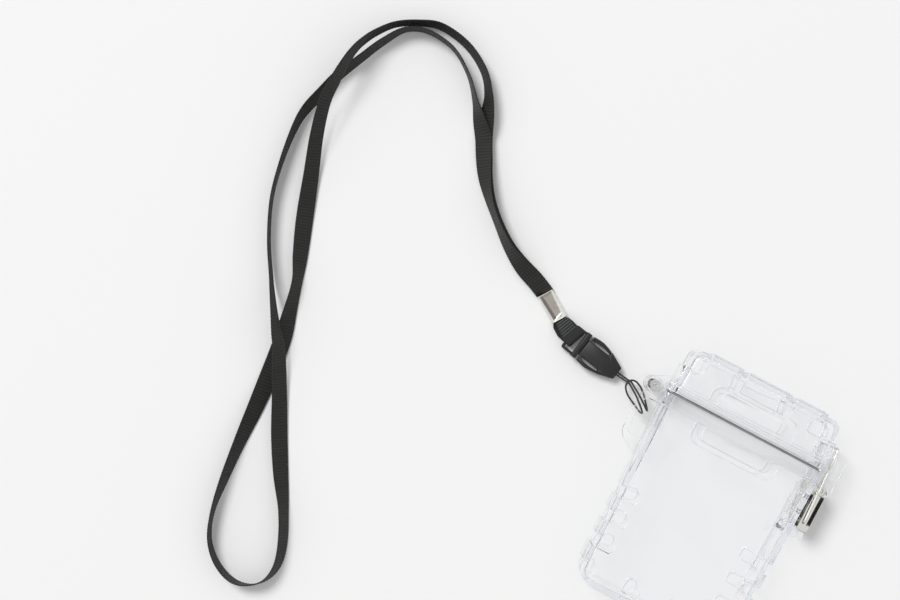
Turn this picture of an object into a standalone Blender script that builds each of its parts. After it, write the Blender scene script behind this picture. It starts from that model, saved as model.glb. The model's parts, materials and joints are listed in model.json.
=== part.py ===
"""Photocard holder: a clear hinged case with a seal and a wire draw latch, on a neck lanyard.

The case lies on its back. +X is the latch side, +Y the lid end and +Z the front face.
The origin is the centre of the back face. Sizes are in metres.
"""

import math

import bmesh
import bpy
from mathutils import Matrix, Vector

MM = 0.001
GAP = 0.3 * MM  # clearance between pieces that touch or run on each other
ARC_STEPS = 5  # straight pieces in each rounded corner of an outline
ROUND_SIDES = 24  # sides of a pin or a bore
CURVE_STEPS = 20  # steps between two points of a route, when its length is measured
OVERSHOOT = 3.0 * MM  # how far a cutter runs past the face that it opens
ROOT = 1.0 * MM  # how deep a rib or an ear is sunk into the wall that it grows from

# Case
CASE_LENGTH = 135.0 * MM
CASE_WIDTH = 88.0 * MM
CASE_THICKNESS = 23.5 * MM
LID_LENGTH = 27.8 * MM
PARTING_GAP = 0.6 * MM
SIDE_DRAFT = 1.1 * MM  # how much each side of the body closes in towards its bottom end
LID_DRAFT = 0.5 * MM
CORNER_RADIUS = 5.6 * MM
CORE_RADIUS = 4.8 * MM
EDGE_ROUND = 0.7 * MM
SKIN = 1.2 * MM  # depth of the grooves and panels in the front and back faces
PAD_DEPTH = 1.5 * MM  # depth of the same grooves in the sides
END_DEPTH = 1.2 * MM  # and in the two ends
SIDE_WALL = 1.6 * MM
FACE_WALL = 2.1 * MM
CAVITY_RADIUS = 4.2 * MM
CAVITY_ROUND = 1.0 * MM
COLLAR_HEIGHT = 6.3 * MM
RIM_HEIGHT = 5.5 * MM
FLANGE_PROUD = 1.2 * MM
LINE_WIDTH = 0.5 * MM
LINE_DEPTH = 0.4 * MM

# Lip and seal
LIP_HEIGHT = 4.5 * MM
LIP_FACE_INSET = 2.5 * MM
LIP_SIDE_WALL = 1.5 * MM
LIP_RADIUS = 3.0 * MM
SEAL_WIDTH = 0.9 * MM
SEAL_THICKNESS = 1.1 * MM

# Grip grooves, corner steps and channels
GROOVE_TOP_Y = -17.3 * MM
GROOVE_PITCH = 13.9 * MM
GROOVE_COUNT = 3
GROOVE_HEIGHT = 6.2 * MM
GROOVE_REACH = 11.2 * MM
GROOVE_END_RADIUS = 2.4 * MM
BOTTOM_GROOVE_X = 12.6 * MM
BOTTOM_GROOVE_REACH = 10.0 * MM
STEP_HALF_BODY = 35.5 * MM
STEP_HALF_LID = 32.9 * MM
STEP_REACH_BODY = 10.5 * MM
STEP_REACH_LID = 12.0 * MM
STEP_RADIUS = 2.5 * MM
CHANNEL_X = 14.05 * MM
CHANNEL_WIDTH = 3.3 * MM

# Bare label panels
PANEL_HALF = 22.7 * MM
PANEL_REACH = 10.8 * MM
PANEL_RADIUS = 5.4 * MM
PANEL_BORDER = 3.1 * MM
PANEL_STEP = 0.7 * MM

# Hinge
HINGE_REACH = 6.8 * MM  # from the flange's side to the pin's axis
BARREL_RADIUS = 4.4 * MM
BARREL_INSET = 4.0 * MM  # the barrel's ends, below the front face and above the back face
LID_KNUCKLE = 5.3 * MM
HINGE_PIN_RADIUS = 1.1 * MM
CLIP_RADIUS = 2.7 * MM
CLIP_THICKNESS = 0.7 * MM
CLIP_MOUTH = 1.3 * MM
PIN_PROUD = 0.5 * MM
GUSSET_RISE = 8.7 * MM

# Lanyard eye
EYE_THICKNESS = 3.0 * MM
EYE_STRIP = 2.6 * MM
EYE_REACH = 10.2 * MM  # from the flange's side to the strip's outer edge
EYE_TOP_DROP = 7.0 * MM
EYE_HOLE_LENGTH = 21.2 * MM
EYE_HOLE_RADIUS = 3.6 * MM
EYE_TAIL = 9.7 * MM
EYE_CURVE = 7.0 * MM
EYE_CURVE_DROP = 1.9 * MM

# Draw latch
FULCRUM_REACH = 3.8 * MM  # from the flange's side to the lever's pin
FULCRUM_DROP = 8.2 * MM  # from the body's rim down to the lever's pin
LEVER_LENGTH = 22.7 * MM
LEVER_WIDTH = 12.4 * MM
LEVER_SHEET = 0.9 * MM
LEVER_BACK = 3.5 * MM  # from the pin's axis out to the lever's back
LEVER_DEPTH = 5.6 * MM
LEVER_HEAD_RADIUS = 2.0 * MM
LEVER_HEAD_DROP = 1.0 * MM
LEVER_PIN_RADIUS = 0.8 * MM
WIRE_RADIUS = 0.7 * MM
WIRE_BEND = 1.6 * MM
FOOT_BEND = 1.05 * MM  # where the wire turns into the lever's sides
BAIL_DROP = 18.2 * MM  # from the lever's pin down to the wire's pivot
BAIL_LENGTH = 41.3 * MM
BAIL_LEAN = 2.0 * MM
BAIL_OFFSET = 0.3 * MM
BAIL_CLEARANCE = 0.4 * MM
BASE_SHEET = 0.9 * MM
BASE_LENGTH = 19.4 * MM
BASE_RISE = 1.5 * MM  # how far the base plate stands above the lever's pin
RIVET_RADIUS = 1.1 * MM
RIVET_HEAD_RADIUS = 2.2 * MM
RIVET_HEAD = 0.8 * MM
RIVET_BITE = 1.0 * MM
RIVET_DROP = 6.4 * MM  # from the lever's pin down to the upper rivet
RIVET_EDGE = 3.0 * MM  # from the lower rivet to the base plate's end
CHEEK_THICKNESS = 2.2 * MM
CHEEK_PROUD = 7.9 * MM
CHEEK_LENGTH_BODY = 10.6 * MM
CHEEK_LENGTH_LID = 11.9 * MM
CHEEK_RADIUS = 3.0 * MM
CATCH_LENGTH = 5.6 * MM
GUARD_LENGTH = 4.8 * MM
GUARD_PROUD = 5.9 * MM

# Buckle
BUCKLE_TIP = (-70.2 * MM, 35.4 * MM)
BUCKLE_TURN = math.radians(-10.6)
BUCKLE_LENGTH = 31.9 * MM
BUCKLE_THICKNESS = 6.0 * MM
PLUG_FRAME = 9.4 * MM  # from the plug's face back to the end of its frame
PLUG_HALF = 7.2 * MM
PLUG_LEG = 1.4 * MM
PLUG_BAR = 1.6 * MM
PLUG_SHOULDER = 2.7 * MM
SHOULDER_WIDTH = 15.2 * MM
TONGUE_LENGTH = 11.4 * MM
TONGUE_HALF = 3.6 * MM
TONGUE_THICKNESS = 1.9 * MM
SOCKET_HALF = 4.7 * MM
SOCKET_WIDTH = 13.6 * MM  # where the socket is widest, at the roots of its springs
TAPER_LENGTH = 8.2 * MM
TIP_HALF = 3.6 * MM
SLIT = 1.0 * MM
SQUEEZE_LENGTH = 11.5 * MM
SQUEEZE_ROOT_THICKNESS = 1.3 * MM
SQUEEZE_END_THICKNESS = 2.0 * MM
SQUEEZE_BULGE = 0.5 * MM
SQUEEZE_STEPS = 10
CORD_HOLE_HALF = 1.5 * MM

# Webbing, crimp and cords
WEBBING_WIDTH = 9.5 * MM
WEBBING_THICKNESS = 0.8 * MM
TAB_THICKNESS = 2.2 * MM
TAB_SINK = 0.5 * MM  # how deep the tab's fold is sunk into its loop round the bar
TAB_EASE = 0.2 * MM  # how much narrower the fold ends there, on each side
TAB_WIDE = (0.3, 0.7)  # shares of the way from the crimp to the bar, where the tab has its full width
CRIMP_LENGTH = 15.6 * MM
CRIMP_WIDTH = 8.6 * MM
CRIMP_THICKNESS = 5.0 * MM
CRIMP_WALL = 0.6 * MM
CRIMP_TOP = (-123.0 * MM, 55.1 * MM)
CRIMP_TURN = math.radians(-31.6)
CORD_RADIUS = 0.5 * MM
STRAND_SPACING = 1.3 * MM
RIBBON_STRIDE = 6.4 * MM  # from one point of the ribbon's curve to the next
SELVAGE_EASE = 0.3  # how far its corners are cut back, as a share of its thickness
CORD_STRIDE = 1.7 * MM

# The two strands side by side, from the crimp: x, y in millimetres and the lean from upright
SHARED_RUN = [
    (-124.1, 55.8, 90),
    (-131.0, 58.6, 84),
    (-138.5, 61.2, 62),
    (-145.5, 64.4, 42),
    (-153.5, 69.3, 26),
    (-163.5, 77.4, 18),
    (-171.8, 85.2, 24),
    (-178.8, 93.6, 42),
    (-184.3, 102.4, 58),
    (-189.4, 111.6, 68),
]

# One strand's way round the loop and back: x, y, lift above the table and the lean,
# which is to the right of the way where it is above zero and to the left below it
LOOP_RUN = [
    (-195.6, 118.6, 0.0, 44),
    (-202.4, 126.6, 0.0, 16),
    (-212.0, 137.0, 0.0, 6),
    (-225.2, 145.4, 0.0, 4),
    (-240.5, 147.2, 0.0, 4),
    (-252.0, 142.7, 0.0, 6),
    (-259.8, 131.2, 0.0, 14),
    (-266.2, 117.6, 0.0, 18),
    (-272.1, 105.0, 0.0, 26),
    (-275.3, 93.6, 0.0, 30),
    (-278.6, 82.2, 0.0, 24),
    (-279.4, 71.2, 0.0, 14),
    (-277.4, 52.2, 0.0, 6),
    (-272.8, 32.0, 0.0, 3),
    (-264.0, 12.2, 0.0, 3),
    (-253.6, -4.6, 1.0, 5),
    (-248.2, -12.6, 3.6, 9),
    (-242.6, -20.6, 6.4, 16),
    (-237.2, -28.6, 6.8, 26),
    (-231.6, -37.0, 4.6, 38),
    (-221.4, -56.6, 1.2, 50),
    (-211.2, -76.4, 0.0, 60),
    (-201.4, -93.2, 0.0, 50),
    (-191.4, -108.8, 0.0, 28),
    (-183.6, -124.4, 0.0, 26),
    (-180.4, -136.4, 0.0, 22),
    (-182.4, -146.2, 0.0, 12),
    (-189.2, -152.6, 0.0, 5),
    (-198.6, -154.2, 0.0, -5),
    (-209.6, -149.6, 0.0, -6),
    (-218.4, -140.4, 0.0, -4),
    (-223.4, -127.4, 0.0, -6),
    (-226.0, -110.0, 0.0, -22),
    (-228.0, -88.4, 0.0, -38),
    (-229.4, -68.0, 0.0, -62),
    (-231.2, -50.0, 0.0, -80),
    (-233.4, -32.0, 0.0, -78),
    (-236.8, -16.0, 0.0, -44),
    (-240.8, 0.0, 0.0, -30),
    (-246.0, 13.0, 0.0, -52),
    (-253.0, 30.8, 0.0, -69),
    (-260.2, 52.0, 1.4, -54),
    (-266.8, 71.6, 5.2, -42),
    (-270.7, 88.6, 8.8, -34),
    (-271.1, 101.0, 9.8, -28),
    (-270.8, 109.6, 10.6, -22),
    (-270.0, 117.6, 10.4, -16),
    (-268.2, 125.0, 8.4, -12),
    (-264.4, 133.6, 4.4, -10),
    (-257.6, 142.6, 1.2, -8),
    (-247.4, 149.0, 0.0, -10),
    (-235.8, 152.8, 0.0, -14),
    (-219.6, 150.4, 0.0, -16),
    (-206.0, 142.8, 0.0, -18),
    (-198.0, 133.0, 0.4, -26),
    (-193.4, 122.6, 1.4, -52),
]

# Half of the cord's hitch, in millimetres along and across it from its knot, and up
HITCH_KNOT = (-62.0, 34.4)
HITCH_TURN = math.radians(-38.0)
HITCH_HALF = [
    (0.0, 0.65, 5.2),
    (3.2, 0.70, 9.6),
    (6.4, 0.80, 14.0),
    (10.0, 0.95, 14.8),
    (13.6, 1.10, 14.2),
    (15.9, 1.30, 12.2),
    (16.1, 1.80, 9.9),
    (14.2, 2.40, 8.4),
    (11.2, 3.00, 8.3),
    (8.0, 3.60, 7.4),
    (4.4, 3.90, 6.1),
    (1.0, 3.10, 5.7),
    (-0.8, 1.50, 6.6),
]
HITCH_BIGHT = (-1.1, 0.0, 7.1)

# Colours, roughness and metallic values
FINISHES = {
    "clear_plastic": ((0.86, 0.88, 0.91), 0.06, 0.0),
    "seal_rubber": ((0.015, 0.015, 0.016), 0.55, 0.0),
    "latch_steel": ((0.62, 0.61, 0.59), 0.16, 1.0),
    "pin_steel": ((0.42, 0.34, 0.26), 0.30, 1.0),
    "buckle_plastic": ((0.030, 0.030, 0.032), 0.34, 0.0),
    "webbing": ((0.016, 0.016, 0.016), 0.80, 0.0),
    "cord": ((0.014, 0.014, 0.014), 0.65, 0.0),
}

# Places worked out from the sizes above
TOP_Y = CASE_LENGTH / 2
BOTTOM_Y = -CASE_LENGTH / 2
LID_FACE_Y = TOP_Y - LID_LENGTH
BODY_FACE_Y = LID_FACE_Y - PARTING_GAP
COLLAR_Y = BODY_FACE_Y - COLLAR_HEIGHT
RIM_Y = LID_FACE_Y + RIM_HEIGHT
HALF_WIDTH = CASE_WIDTH / 2
FLANGE_X = HALF_WIDTH + FLANGE_PROUD
MID_Z = CASE_THICKNESS / 2
CAVITY_INSET = PAD_DEPTH + SIDE_WALL
CAVITY_LOW_Z = SKIN + FACE_WALL
CAVITY_HIGH_Z = CASE_THICKNESS - CAVITY_LOW_Z
LIP_HALF = HALF_WIDTH - CAVITY_INSET + LIP_SIDE_WALL
HINGE_X = -FLANGE_X - HINGE_REACH
HINGE_Y = (BODY_FACE_Y + LID_FACE_Y) / 2
BARREL_LOW_Z = BARREL_INSET
BARREL_HIGH_Z = CASE_THICKNESS - BARREL_INSET
BORE_RADIUS = HINGE_PIN_RADIUS + GAP
FULCRUM_X = FLANGE_X + FULCRUM_REACH
FULCRUM_Y = BODY_FACE_Y - FULCRUM_DROP
LEVER_HALF = LEVER_WIDTH / 2
WIRE_HALF = LEVER_HALF + GAP + WIRE_RADIUS
PIVOT_X = FULCRUM_X - BAIL_OFFSET
PIVOT_Y = FULCRUM_Y - BAIL_DROP
CROSSBAR_X = PIVOT_X - BAIL_LEAN
CROSSBAR_Y = PIVOT_Y + BAIL_LENGTH
CHEEK_INNER = WIRE_HALF + WIRE_RADIUS + 2 * GAP
CHEEK_OUTER = CHEEK_INNER + CHEEK_THICKNESS
BASE_LOW_X = HALF_WIDTH + GAP
BASE_HIGH_X = BASE_LOW_X + BASE_SHEET
BASE_HALF = LEVER_HALF - LEVER_SHEET - GAP
RIVET_DROPS = (RIVET_DROP, BASE_LENGTH - BASE_RISE - RIVET_EDGE)
PLUG_BACK = BUCKLE_LENGTH
PLUG_FACE = BUCKLE_LENGTH - PLUG_FRAME
SOCKET_FACE = PLUG_FACE - GAP
SQUEEZE_END = PLUG_FACE - PLUG_BAR
SQUEEZE_ROOT = SQUEEZE_END - SQUEEZE_LENGTH
TAB_RADIUS = PLUG_BAR / 2 + GAP


def clear_objects():
    """Removes whatever the file opened with."""
    for old in list(bpy.data.objects):
        bpy.data.objects.remove(old, do_unlink=True)


def make_materials():
    """One material for each finish."""
    made = {}
    for name, (colour, roughness, metallic) in FINISHES.items():
        material = bpy.data.materials.new(name)
        material.use_nodes = True
        shader = material.node_tree.nodes["Principled BSDF"]
        shader.inputs["Base Color"].default_value = (*colour, 1.0)
        shader.inputs["Roughness"].default_value = roughness
        shader.inputs["Metallic"].default_value = metallic
        made[name] = material
    return made


def rounded(corners, steps=ARC_STEPS):
    """An outline with rounded corners. Each corner is (x, y) or (x, y, radius)."""
    points = []
    count = len(corners)
    for index, corner in enumerate(corners):
        here = Vector(corner[:2])
        radius = corner[2] if len(corner) > 2 else 0.0
        if radius <= 0.0:
            points.append(here)
            continue
        back = (Vector(corners[index - 1][:2]) - here).normalized()
        ahead = (Vector(corners[(index + 1) % count][:2]) - here).normalized()
        half_angle = back.angle(ahead) / 2
        centre = here + (back + ahead).normalized() * (radius / math.sin(half_angle))
        start = here + back * (radius / math.tan(half_angle)) - centre
        end = here + ahead * (radius / math.tan(half_angle)) - centre
        sweep = start.angle_signed(end)
        for step in range(steps + 1):
            turn = Matrix.Rotation(-sweep * step / steps, 2)
            points.append(centre + turn @ start)
    return points


def circle(centre, radius, sides=ROUND_SIDES):
    """A round outline."""
    turns = [2 * math.pi * index / sides for index in range(sides)]
    return [Vector((centre[0] + radius * math.cos(t), centre[1] + radius * math.sin(t))) for t in turns]


def box_outline(low, high):
    """A rectangle between two corners."""
    return [Vector(low), Vector((high[0], low[1])), Vector(high), Vector((low[0], high[1]))]


def to_space(point, height, axis):
    """A point of an outline, lifted along the axis that the outline is extruded on."""
    if axis == "X":
        return Vector((height, point[0], point[1]))
    if axis == "Y":
        return Vector((point[0], height, point[1]))
    return Vector((point[0], point[1], height))


def finish_mesh(name, bm, material=None):
    """Turns a bmesh into an object whose faces point out."""
    bmesh.ops.recalc_face_normals(bm, faces=bm.faces)
    mesh = bpy.data.meshes.new(name)
    bm.to_mesh(mesh)
    bm.free()
    thing = bpy.data.objects.new(name, mesh)
    bpy.context.scene.collection.objects.link(thing)
    if material is not None:
        mesh.materials.append(material)
        mesh.shade_smooth()
        mesh.set_sharp_from_angle(angle=math.radians(30))
    return thing


def prisms(name, shapes, axis="Z", material=None, round_over=0.0, sharp_y=None):
    """Extruded outlines in one object. Each shape is (outline, low, high).

    round_over rounds the edges of both flat ends, except the edges that lie at sharp_y.
    """
    bm = bmesh.new()
    for outline, low, high in shapes:
        ends = []
        for height in (low, high):
            verts = [bm.verts.new(to_space(point, height, axis)) for point in outline]
            ends.append(verts)
            bm.faces.new(verts)
        count = len(outline)
        for index in range(count):
            after = (index + 1) % count
            bm.faces.new((ends[0][index], ends[0][after], ends[1][after], ends[1][index]))
        if round_over > 0.0:
            rims = []
            for verts in ends:
                for index in range(count):
                    edge = bm.edges.get((verts[index], verts[(index + 1) % count]))
                    on_flat = sharp_y is not None and all(abs(v.co.y - sharp_y) < 1e-7 for v in edge.verts)
                    if not on_flat:
                        rims.append(edge)
            bmesh.ops.recalc_face_normals(bm, faces=bm.faces)
            bmesh.ops.bevel(bm, geom=rims, offset=round_over, segments=2, profile=0.5, affect="EDGES")
    return finish_mesh(name, bm, material)


def prism(name, outline, low, high, **options):
    """One extruded outline."""
    return prisms(name, [(outline, low, high)], **options)


def combine(target, other, operation):
    """Adds or takes away another object, which is then only a guide."""
    step = target.modifiers.new(other.name, "BOOLEAN")
    step.operation = operation
    step.solver = "EXACT"
    step.object = other
    other.hide_render = True
    other.display_type = "WIRE"


def cut(target, *cutters):
    """Takes the cutters away from the target."""
    for cutter in cutters:
        combine(target, cutter, "DIFFERENCE")


def join(target, *others):
    """Grows the others onto the target."""
    for other in others:
        combine(target, other, "UNION")


def place(child, parent):
    """Hangs a child from its parent, at the place where it was modelled."""
    child.parent = parent
    child.matrix_parent_inverse = parent.matrix_world.inverted()


def pivot(name, location, turn=0.0):
    """An empty on a joint's axis."""
    empty = bpy.data.objects.new(name, None)
    empty.location = location
    empty.rotation_euler = (0.0, 0.0, turn)
    bpy.context.scene.collection.objects.link(empty)
    bpy.context.view_layer.update()
    return empty


def both_faces(outline, depth):
    """Slabs that cut an outline to a depth into the front and the back face."""
    return [
        (outline, CASE_THICKNESS - depth, CASE_THICKNESS + OVERSHOOT),
        (outline, -OVERSHOOT, depth),
    ]


def body_half(y, inset=0.0):
    """Half the body's width at a height y, with its draft, less an inset."""
    share = (COLLAR_Y - y) / (COLLAR_Y - BOTTOM_Y)
    return HALF_WIDTH - SIDE_DRAFT * share - inset


def lid_half(y, inset=0.0):
    """Half the lid's width at a height y, less an inset."""
    share = (y - RIM_Y) / (TOP_Y - RIM_Y)
    return HALF_WIDTH - PANEL_STEP / 2 - LID_DRAFT * share - inset


def body_outline():
    """The body from above: drafted sides, a round bottom end and the wider collar."""
    low = body_half(BOTTOM_Y)
    high = body_half(COLLAR_Y)
    half = [
        (low, BOTTOM_Y, CORNER_RADIUS),
        (high, COLLAR_Y),
        (FLANGE_X, COLLAR_Y + FLANGE_PROUD),
        (FLANGE_X, BODY_FACE_Y),
    ]
    return rounded(mirrored(half))


def lid_outline():
    """The lid from above: the wide rim, drafted sides and a round top end."""
    half = [
        (FLANGE_X, LID_FACE_Y),
        (FLANGE_X, RIM_Y - FLANGE_PROUD),
        (lid_half(RIM_Y), RIM_Y),
        (lid_half(TOP_Y), TOP_Y, CORNER_RADIUS),
    ]
    return rounded(mirrored(half))


def mirrored(half):
    """The right half of an outline and its mirror image, as one ring of corners."""
    left = [(-corner[0], *corner[1:]) for corner in reversed(half)]
    return list(half) + left


def shell_outline(half_at, open_y, end_y, inset, end_inset, radius):
    """A drafted outline that is round at end_y and square at open_y."""
    end = end_y + end_inset if end_y < open_y else end_y - end_inset
    half = [
        (half_at(end_y, inset), end, radius),
        (half_at(open_y, inset), open_y),
    ]
    return rounded(mirrored(half))


def flat_frame(half, z_inset, radius):
    """An upright outline across the case, seen along Y."""
    low, high = z_inset, CASE_THICKNESS - z_inset
    return rounded([(half, low, radius), (half, high, radius), (-half, high, radius), (-half, low, radius)])


def tongue(inner, outer, low, high, radius, side):
    """A groove from above: open at the outer end, round at the inner one."""
    corners = [(outer, low), (outer, high), (inner, high, radius), (inner, low, radius)]
    return rounded([(side * x, y, *rest) for x, y, *rest in corners])


def recess_cutter(name, outlines, core):
    """Blocks through the whole thickness, less the core that they leave standing."""
    blocks = prisms(name, [(outline, -OVERSHOOT, CASE_THICKNESS + OVERSHOOT) for outline in outlines])
    cut(blocks, core)
    return blocks


def body_recesses():
    """Grip grooves on the sides, two more on the bottom end, and the stepped corners."""
    outlines = []
    past = HALF_WIDTH + OVERSHOOT
    for side in (-1, 1):
        for index in range(GROOVE_COUNT):
            middle = GROOVE_TOP_Y - GROOVE_PITCH * index
            inner = body_half(middle) - GROOVE_REACH
            low, high = middle - GROOVE_HEIGHT / 2, middle + GROOVE_HEIGHT / 2
            outlines.append(tongue(inner, past, low, high, GROOVE_END_RADIUS, side))
        step_top = BOTTOM_Y + STEP_REACH_BODY
        outlines.append(
            rounded(
                [
                    (side * STEP_HALF_BODY, BOTTOM_Y - OVERSHOOT),
                    (side * past, BOTTOM_Y - OVERSHOOT),
                    (side * past, step_top),
                    (side * STEP_HALF_BODY, step_top, STEP_RADIUS),
                ]
            )
        )
        groove_end = BOTTOM_Y + BOTTOM_GROOVE_REACH
        left = side * BOTTOM_GROOVE_X - GROOVE_HEIGHT / 2
        right = side * BOTTOM_GROOVE_X + GROOVE_HEIGHT / 2
        outlines.append(
            rounded(
                [
                    (left, BOTTOM_Y - OVERSHOOT),
                    (right, BOTTOM_Y - OVERSHOOT),
                    (right, groove_end, GROOVE_END_RADIUS),
                    (left, groove_end, GROOVE_END_RADIUS),
                ]
            )
        )
    core_outline = shell_outline(body_half, COLLAR_Y, BOTTOM_Y, PAD_DEPTH, END_DEPTH, CORE_RADIUS)
    core = prism("body_core", core_outline, SKIN, CASE_THICKNESS - SKIN)
    return recess_cutter("body_recesses", outlines, core)


def lid_recesses():
    """Channels between the lid's pads and its stepped corners."""
    outlines = []
    past = FLANGE_X + OVERSHOOT
    panel_top = RIM_Y + PANEL_REACH
    for side in (-1, 1):
        step_low = TOP_Y - STEP_REACH_LID
        outlines.append(
            rounded(
                [
                    (side * STEP_HALF_LID, TOP_Y + OVERSHOOT),
                    (side * past, TOP_Y + OVERSHOOT),
                    (side * past, step_low),
                    (side * STEP_HALF_LID, step_low, STEP_RADIUS),
                ]
            )
        )
        left = side * CHANNEL_X - CHANNEL_WIDTH / 2
        right = side * CHANNEL_X + CHANNEL_WIDTH / 2
        outlines.append(box_outline((left, panel_top - ROOT), (right, TOP_Y + OVERSHOOT)))
    core_outline = shell_outline(lid_half, LID_FACE_Y, TOP_Y, PAD_DEPTH, END_DEPTH, CORE_RADIUS)
    core = prism("lid_core", core_outline, SKIN, CASE_THICKNESS - SKIN)
    return recess_cutter("lid_recesses", outlines, core)


def panel(name, shell, near_y, direction):
    """Sinks a bare label panel into both faces, with a raised field inside its border."""
    far_y = near_y + direction * PANEL_REACH
    border = rounded(
        mirrored([(PANEL_HALF, near_y), (PANEL_HALF, far_y, PANEL_RADIUS)])
    )
    cut(shell, prisms(name + "_border", both_faces(border, SKIN)))
    field_half = PANEL_HALF - PANEL_BORDER
    field_far = far_y - direction * PANEL_BORDER
    field_near = near_y - direction * ROOT
    field = rounded(
        mirrored([(field_half, field_near), (field_half, field_far, PANEL_RADIUS - PANEL_BORDER / 2)])
    )
    sunk = SKIN + FACE_WALL / 2
    slabs = [
        (field, CASE_THICKNESS - sunk, CASE_THICKNESS - PANEL_STEP),
        (field, PANEL_STEP, sunk),
    ]
    join(shell, prisms(name + "_field", slabs))


def rim_line(name, shell, y, direction):
    """Scores the line between a rim and the face beside it, front and back."""
    reach = FLANGE_X + OVERSHOOT
    low, high = sorted((y, y + direction * LINE_WIDTH))
    strip = box_outline((-reach, low), (reach, high))
    cut(shell, prisms(name, both_faces(strip, LINE_DEPTH)))


def eye_outline():
    """The lanyard eye's plate from above, its hole left out."""
    outer = -FLANGE_X - EYE_REACH
    top = HINGE_Y - BARREL_RADIUS - GAP
    hole_low = BODY_FACE_Y - EYE_TOP_DROP - EYE_HOLE_LENGTH
    wall = -HALF_WIDTH + ROOT + PAD_DEPTH
    return rounded(
        [
            (wall, top),
            (outer, top, EYE_STRIP),
            (outer, hole_low - EYE_CURVE_DROP, EYE_CURVE),
            (wall, hole_low - EYE_TAIL),
        ]
    )


def eye_hole():
    """The lanyard eye's opening, closed on its inner side by the body's wall."""
    top = BODY_FACE_Y - EYE_TOP_DROP
    low = top - EYE_HOLE_LENGTH
    left = -FLANGE_X - EYE_REACH + EYE_STRIP
    wall = -HALF_WIDTH
    outline = rounded(
        [(wall, low), (wall, top), (left, top, EYE_HOLE_RADIUS), (left, low, EYE_HOLE_RADIUS)]
    )
    return prism("eye_hole", outline, MID_Z - EYE_THICKNESS, MID_Z + EYE_THICKNESS)


def knuckle(name, direction, ranges):
    """Hinge barrels with a web to the wall: direction -1 for the body's, 1 for the lid's."""
    wall = -FLANGE_X + ROOT
    face = BODY_FACE_Y if direction < 0 else LID_FACE_Y
    rise = GUSSET_RISE if direction > 0 else BARREL_RADIUS + PARTING_GAP / 2
    barrel = circle((HINGE_X, HINGE_Y), BARREL_RADIUS)
    far = Vector((wall, HINGE_Y + direction * rise))
    reach = far - Vector((HINGE_X, HINGE_Y))
    lean = math.atan2(reach.y, reach.x) + direction * math.acos(BARREL_RADIUS / reach.length)
    tangent = Vector((HINGE_X, HINGE_Y)) + BARREL_RADIUS * Vector((math.cos(lean), math.sin(lean)))
    web = [Vector((wall, face)), far, tangent, Vector((HINGE_X, face))]
    if direction < 0:
        web.reverse()
    part = prisms(name + "_web", [(web, low, high) for low, high in ranges])
    join(part, prisms(name + "_barrel", [(barrel, low, high) for low, high in ranges]))
    return part


def hinge_ranges():
    """Heights of the body's two knuckles and of the lid's one between them."""
    low = MID_Z - LID_KNUCKLE / 2
    high = MID_Z + LID_KNUCKLE / 2
    return [(BARREL_LOW_Z, low - GAP), (high + GAP, BARREL_HIGH_Z)], [(low, high)]


def cheek_outline(face_y, length):
    """A guard beside the latch's wire, from above: square at the parting, round at its end."""
    direction = 1 if length > 0 else -1
    end = face_y + length
    outer = FLANGE_X + CHEEK_PROUD
    wall = HALF_WIDTH - PAD_DEPTH
    return rounded(
        [
            (wall, face_y),
            (outer, face_y),
            (outer, end, CHEEK_RADIUS),
            (wall, end - direction * ROOT),
        ]
    )


def cheeks(name, face_y, length):
    """The pair of guards on one half of the case."""
    outline = cheek_outline(face_y, length)
    return prisms(
        name,
        [
            (outline, MID_Z + CHEEK_INNER, MID_Z + CHEEK_OUTER),
            (outline, MID_Z - CHEEK_OUTER, MID_Z - CHEEK_INNER),
        ],
    )


def make_case_body(material):
    """The cup that holds the cards, with its lip, eye, hinge knuckles and latch seat."""
    body = prism(
        "case_body", body_outline(), 0.0, CASE_THICKNESS,
        material=material, round_over=EDGE_ROUND, sharp_y=BODY_FACE_Y,
    )
    cut(body, body_recesses())
    panel("body_panel", body, COLLAR_Y, -1)
    rim_line("body_line", body, COLLAR_Y, -1)
    lip = prism(
        "body_lip", flat_frame(LIP_HALF, LIP_FACE_INSET, LIP_RADIUS),
        BODY_FACE_Y - ROOT, BODY_FACE_Y + LIP_HEIGHT, axis="Y",
    )
    plate = prism("eye_plate", eye_outline(), MID_Z - EYE_THICKNESS / 2, MID_Z + EYE_THICKNESS / 2)
    cut(plate, eye_hole())
    body_ranges, _ = hinge_ranges()
    guard_top = PIVOT_Y - (LEVER_LENGTH - BAIL_DROP) - 2 * GAP
    guard = prism(
        "lever_guard",
        rounded(
            [
                (HALF_WIDTH - PAD_DEPTH, guard_top - GUARD_LENGTH),
                (FLANGE_X + GUARD_PROUD, guard_top - GUARD_LENGTH + ROOT, ROOT),
                (FLANGE_X + GUARD_PROUD, guard_top, ROOT),
                (HALF_WIDTH - PAD_DEPTH, guard_top),
            ]
        ),
        MID_Z - CHEEK_INNER, MID_Z + CHEEK_INNER,
    )
    join(body, lip, plate, knuckle("body_knuckle", -1, body_ranges))
    join(body, cheeks("body_cheeks", BODY_FACE_Y, -CHEEK_LENGTH_BODY), guard)
    mouth_y = BODY_FACE_Y + LIP_HEIGHT + OVERSHOOT
    cavity = shell_outline(body_half, mouth_y, BOTTOM_Y, CAVITY_INSET, CAVITY_INSET, CAVITY_RADIUS)
    cut(body, prism("body_cavity", cavity, CAVITY_LOW_Z, CAVITY_HIGH_Z, round_over=CAVITY_ROUND))
    bore = circle((HINGE_X, HINGE_Y), BORE_RADIUS)
    cut(body, prism("body_bore", bore, -OVERSHOOT, CASE_THICKNESS + OVERSHOOT))
    holes = [
        (circle((FULCRUM_Y - drop, MID_Z), RIVET_RADIUS + GAP), HALF_WIDTH - PAD_DEPTH, FLANGE_X + ROOT)
        for drop in RIVET_DROPS
    ]
    cut(body, prisms("rivet_holes", holes, axis="X"))
    return body


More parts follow.
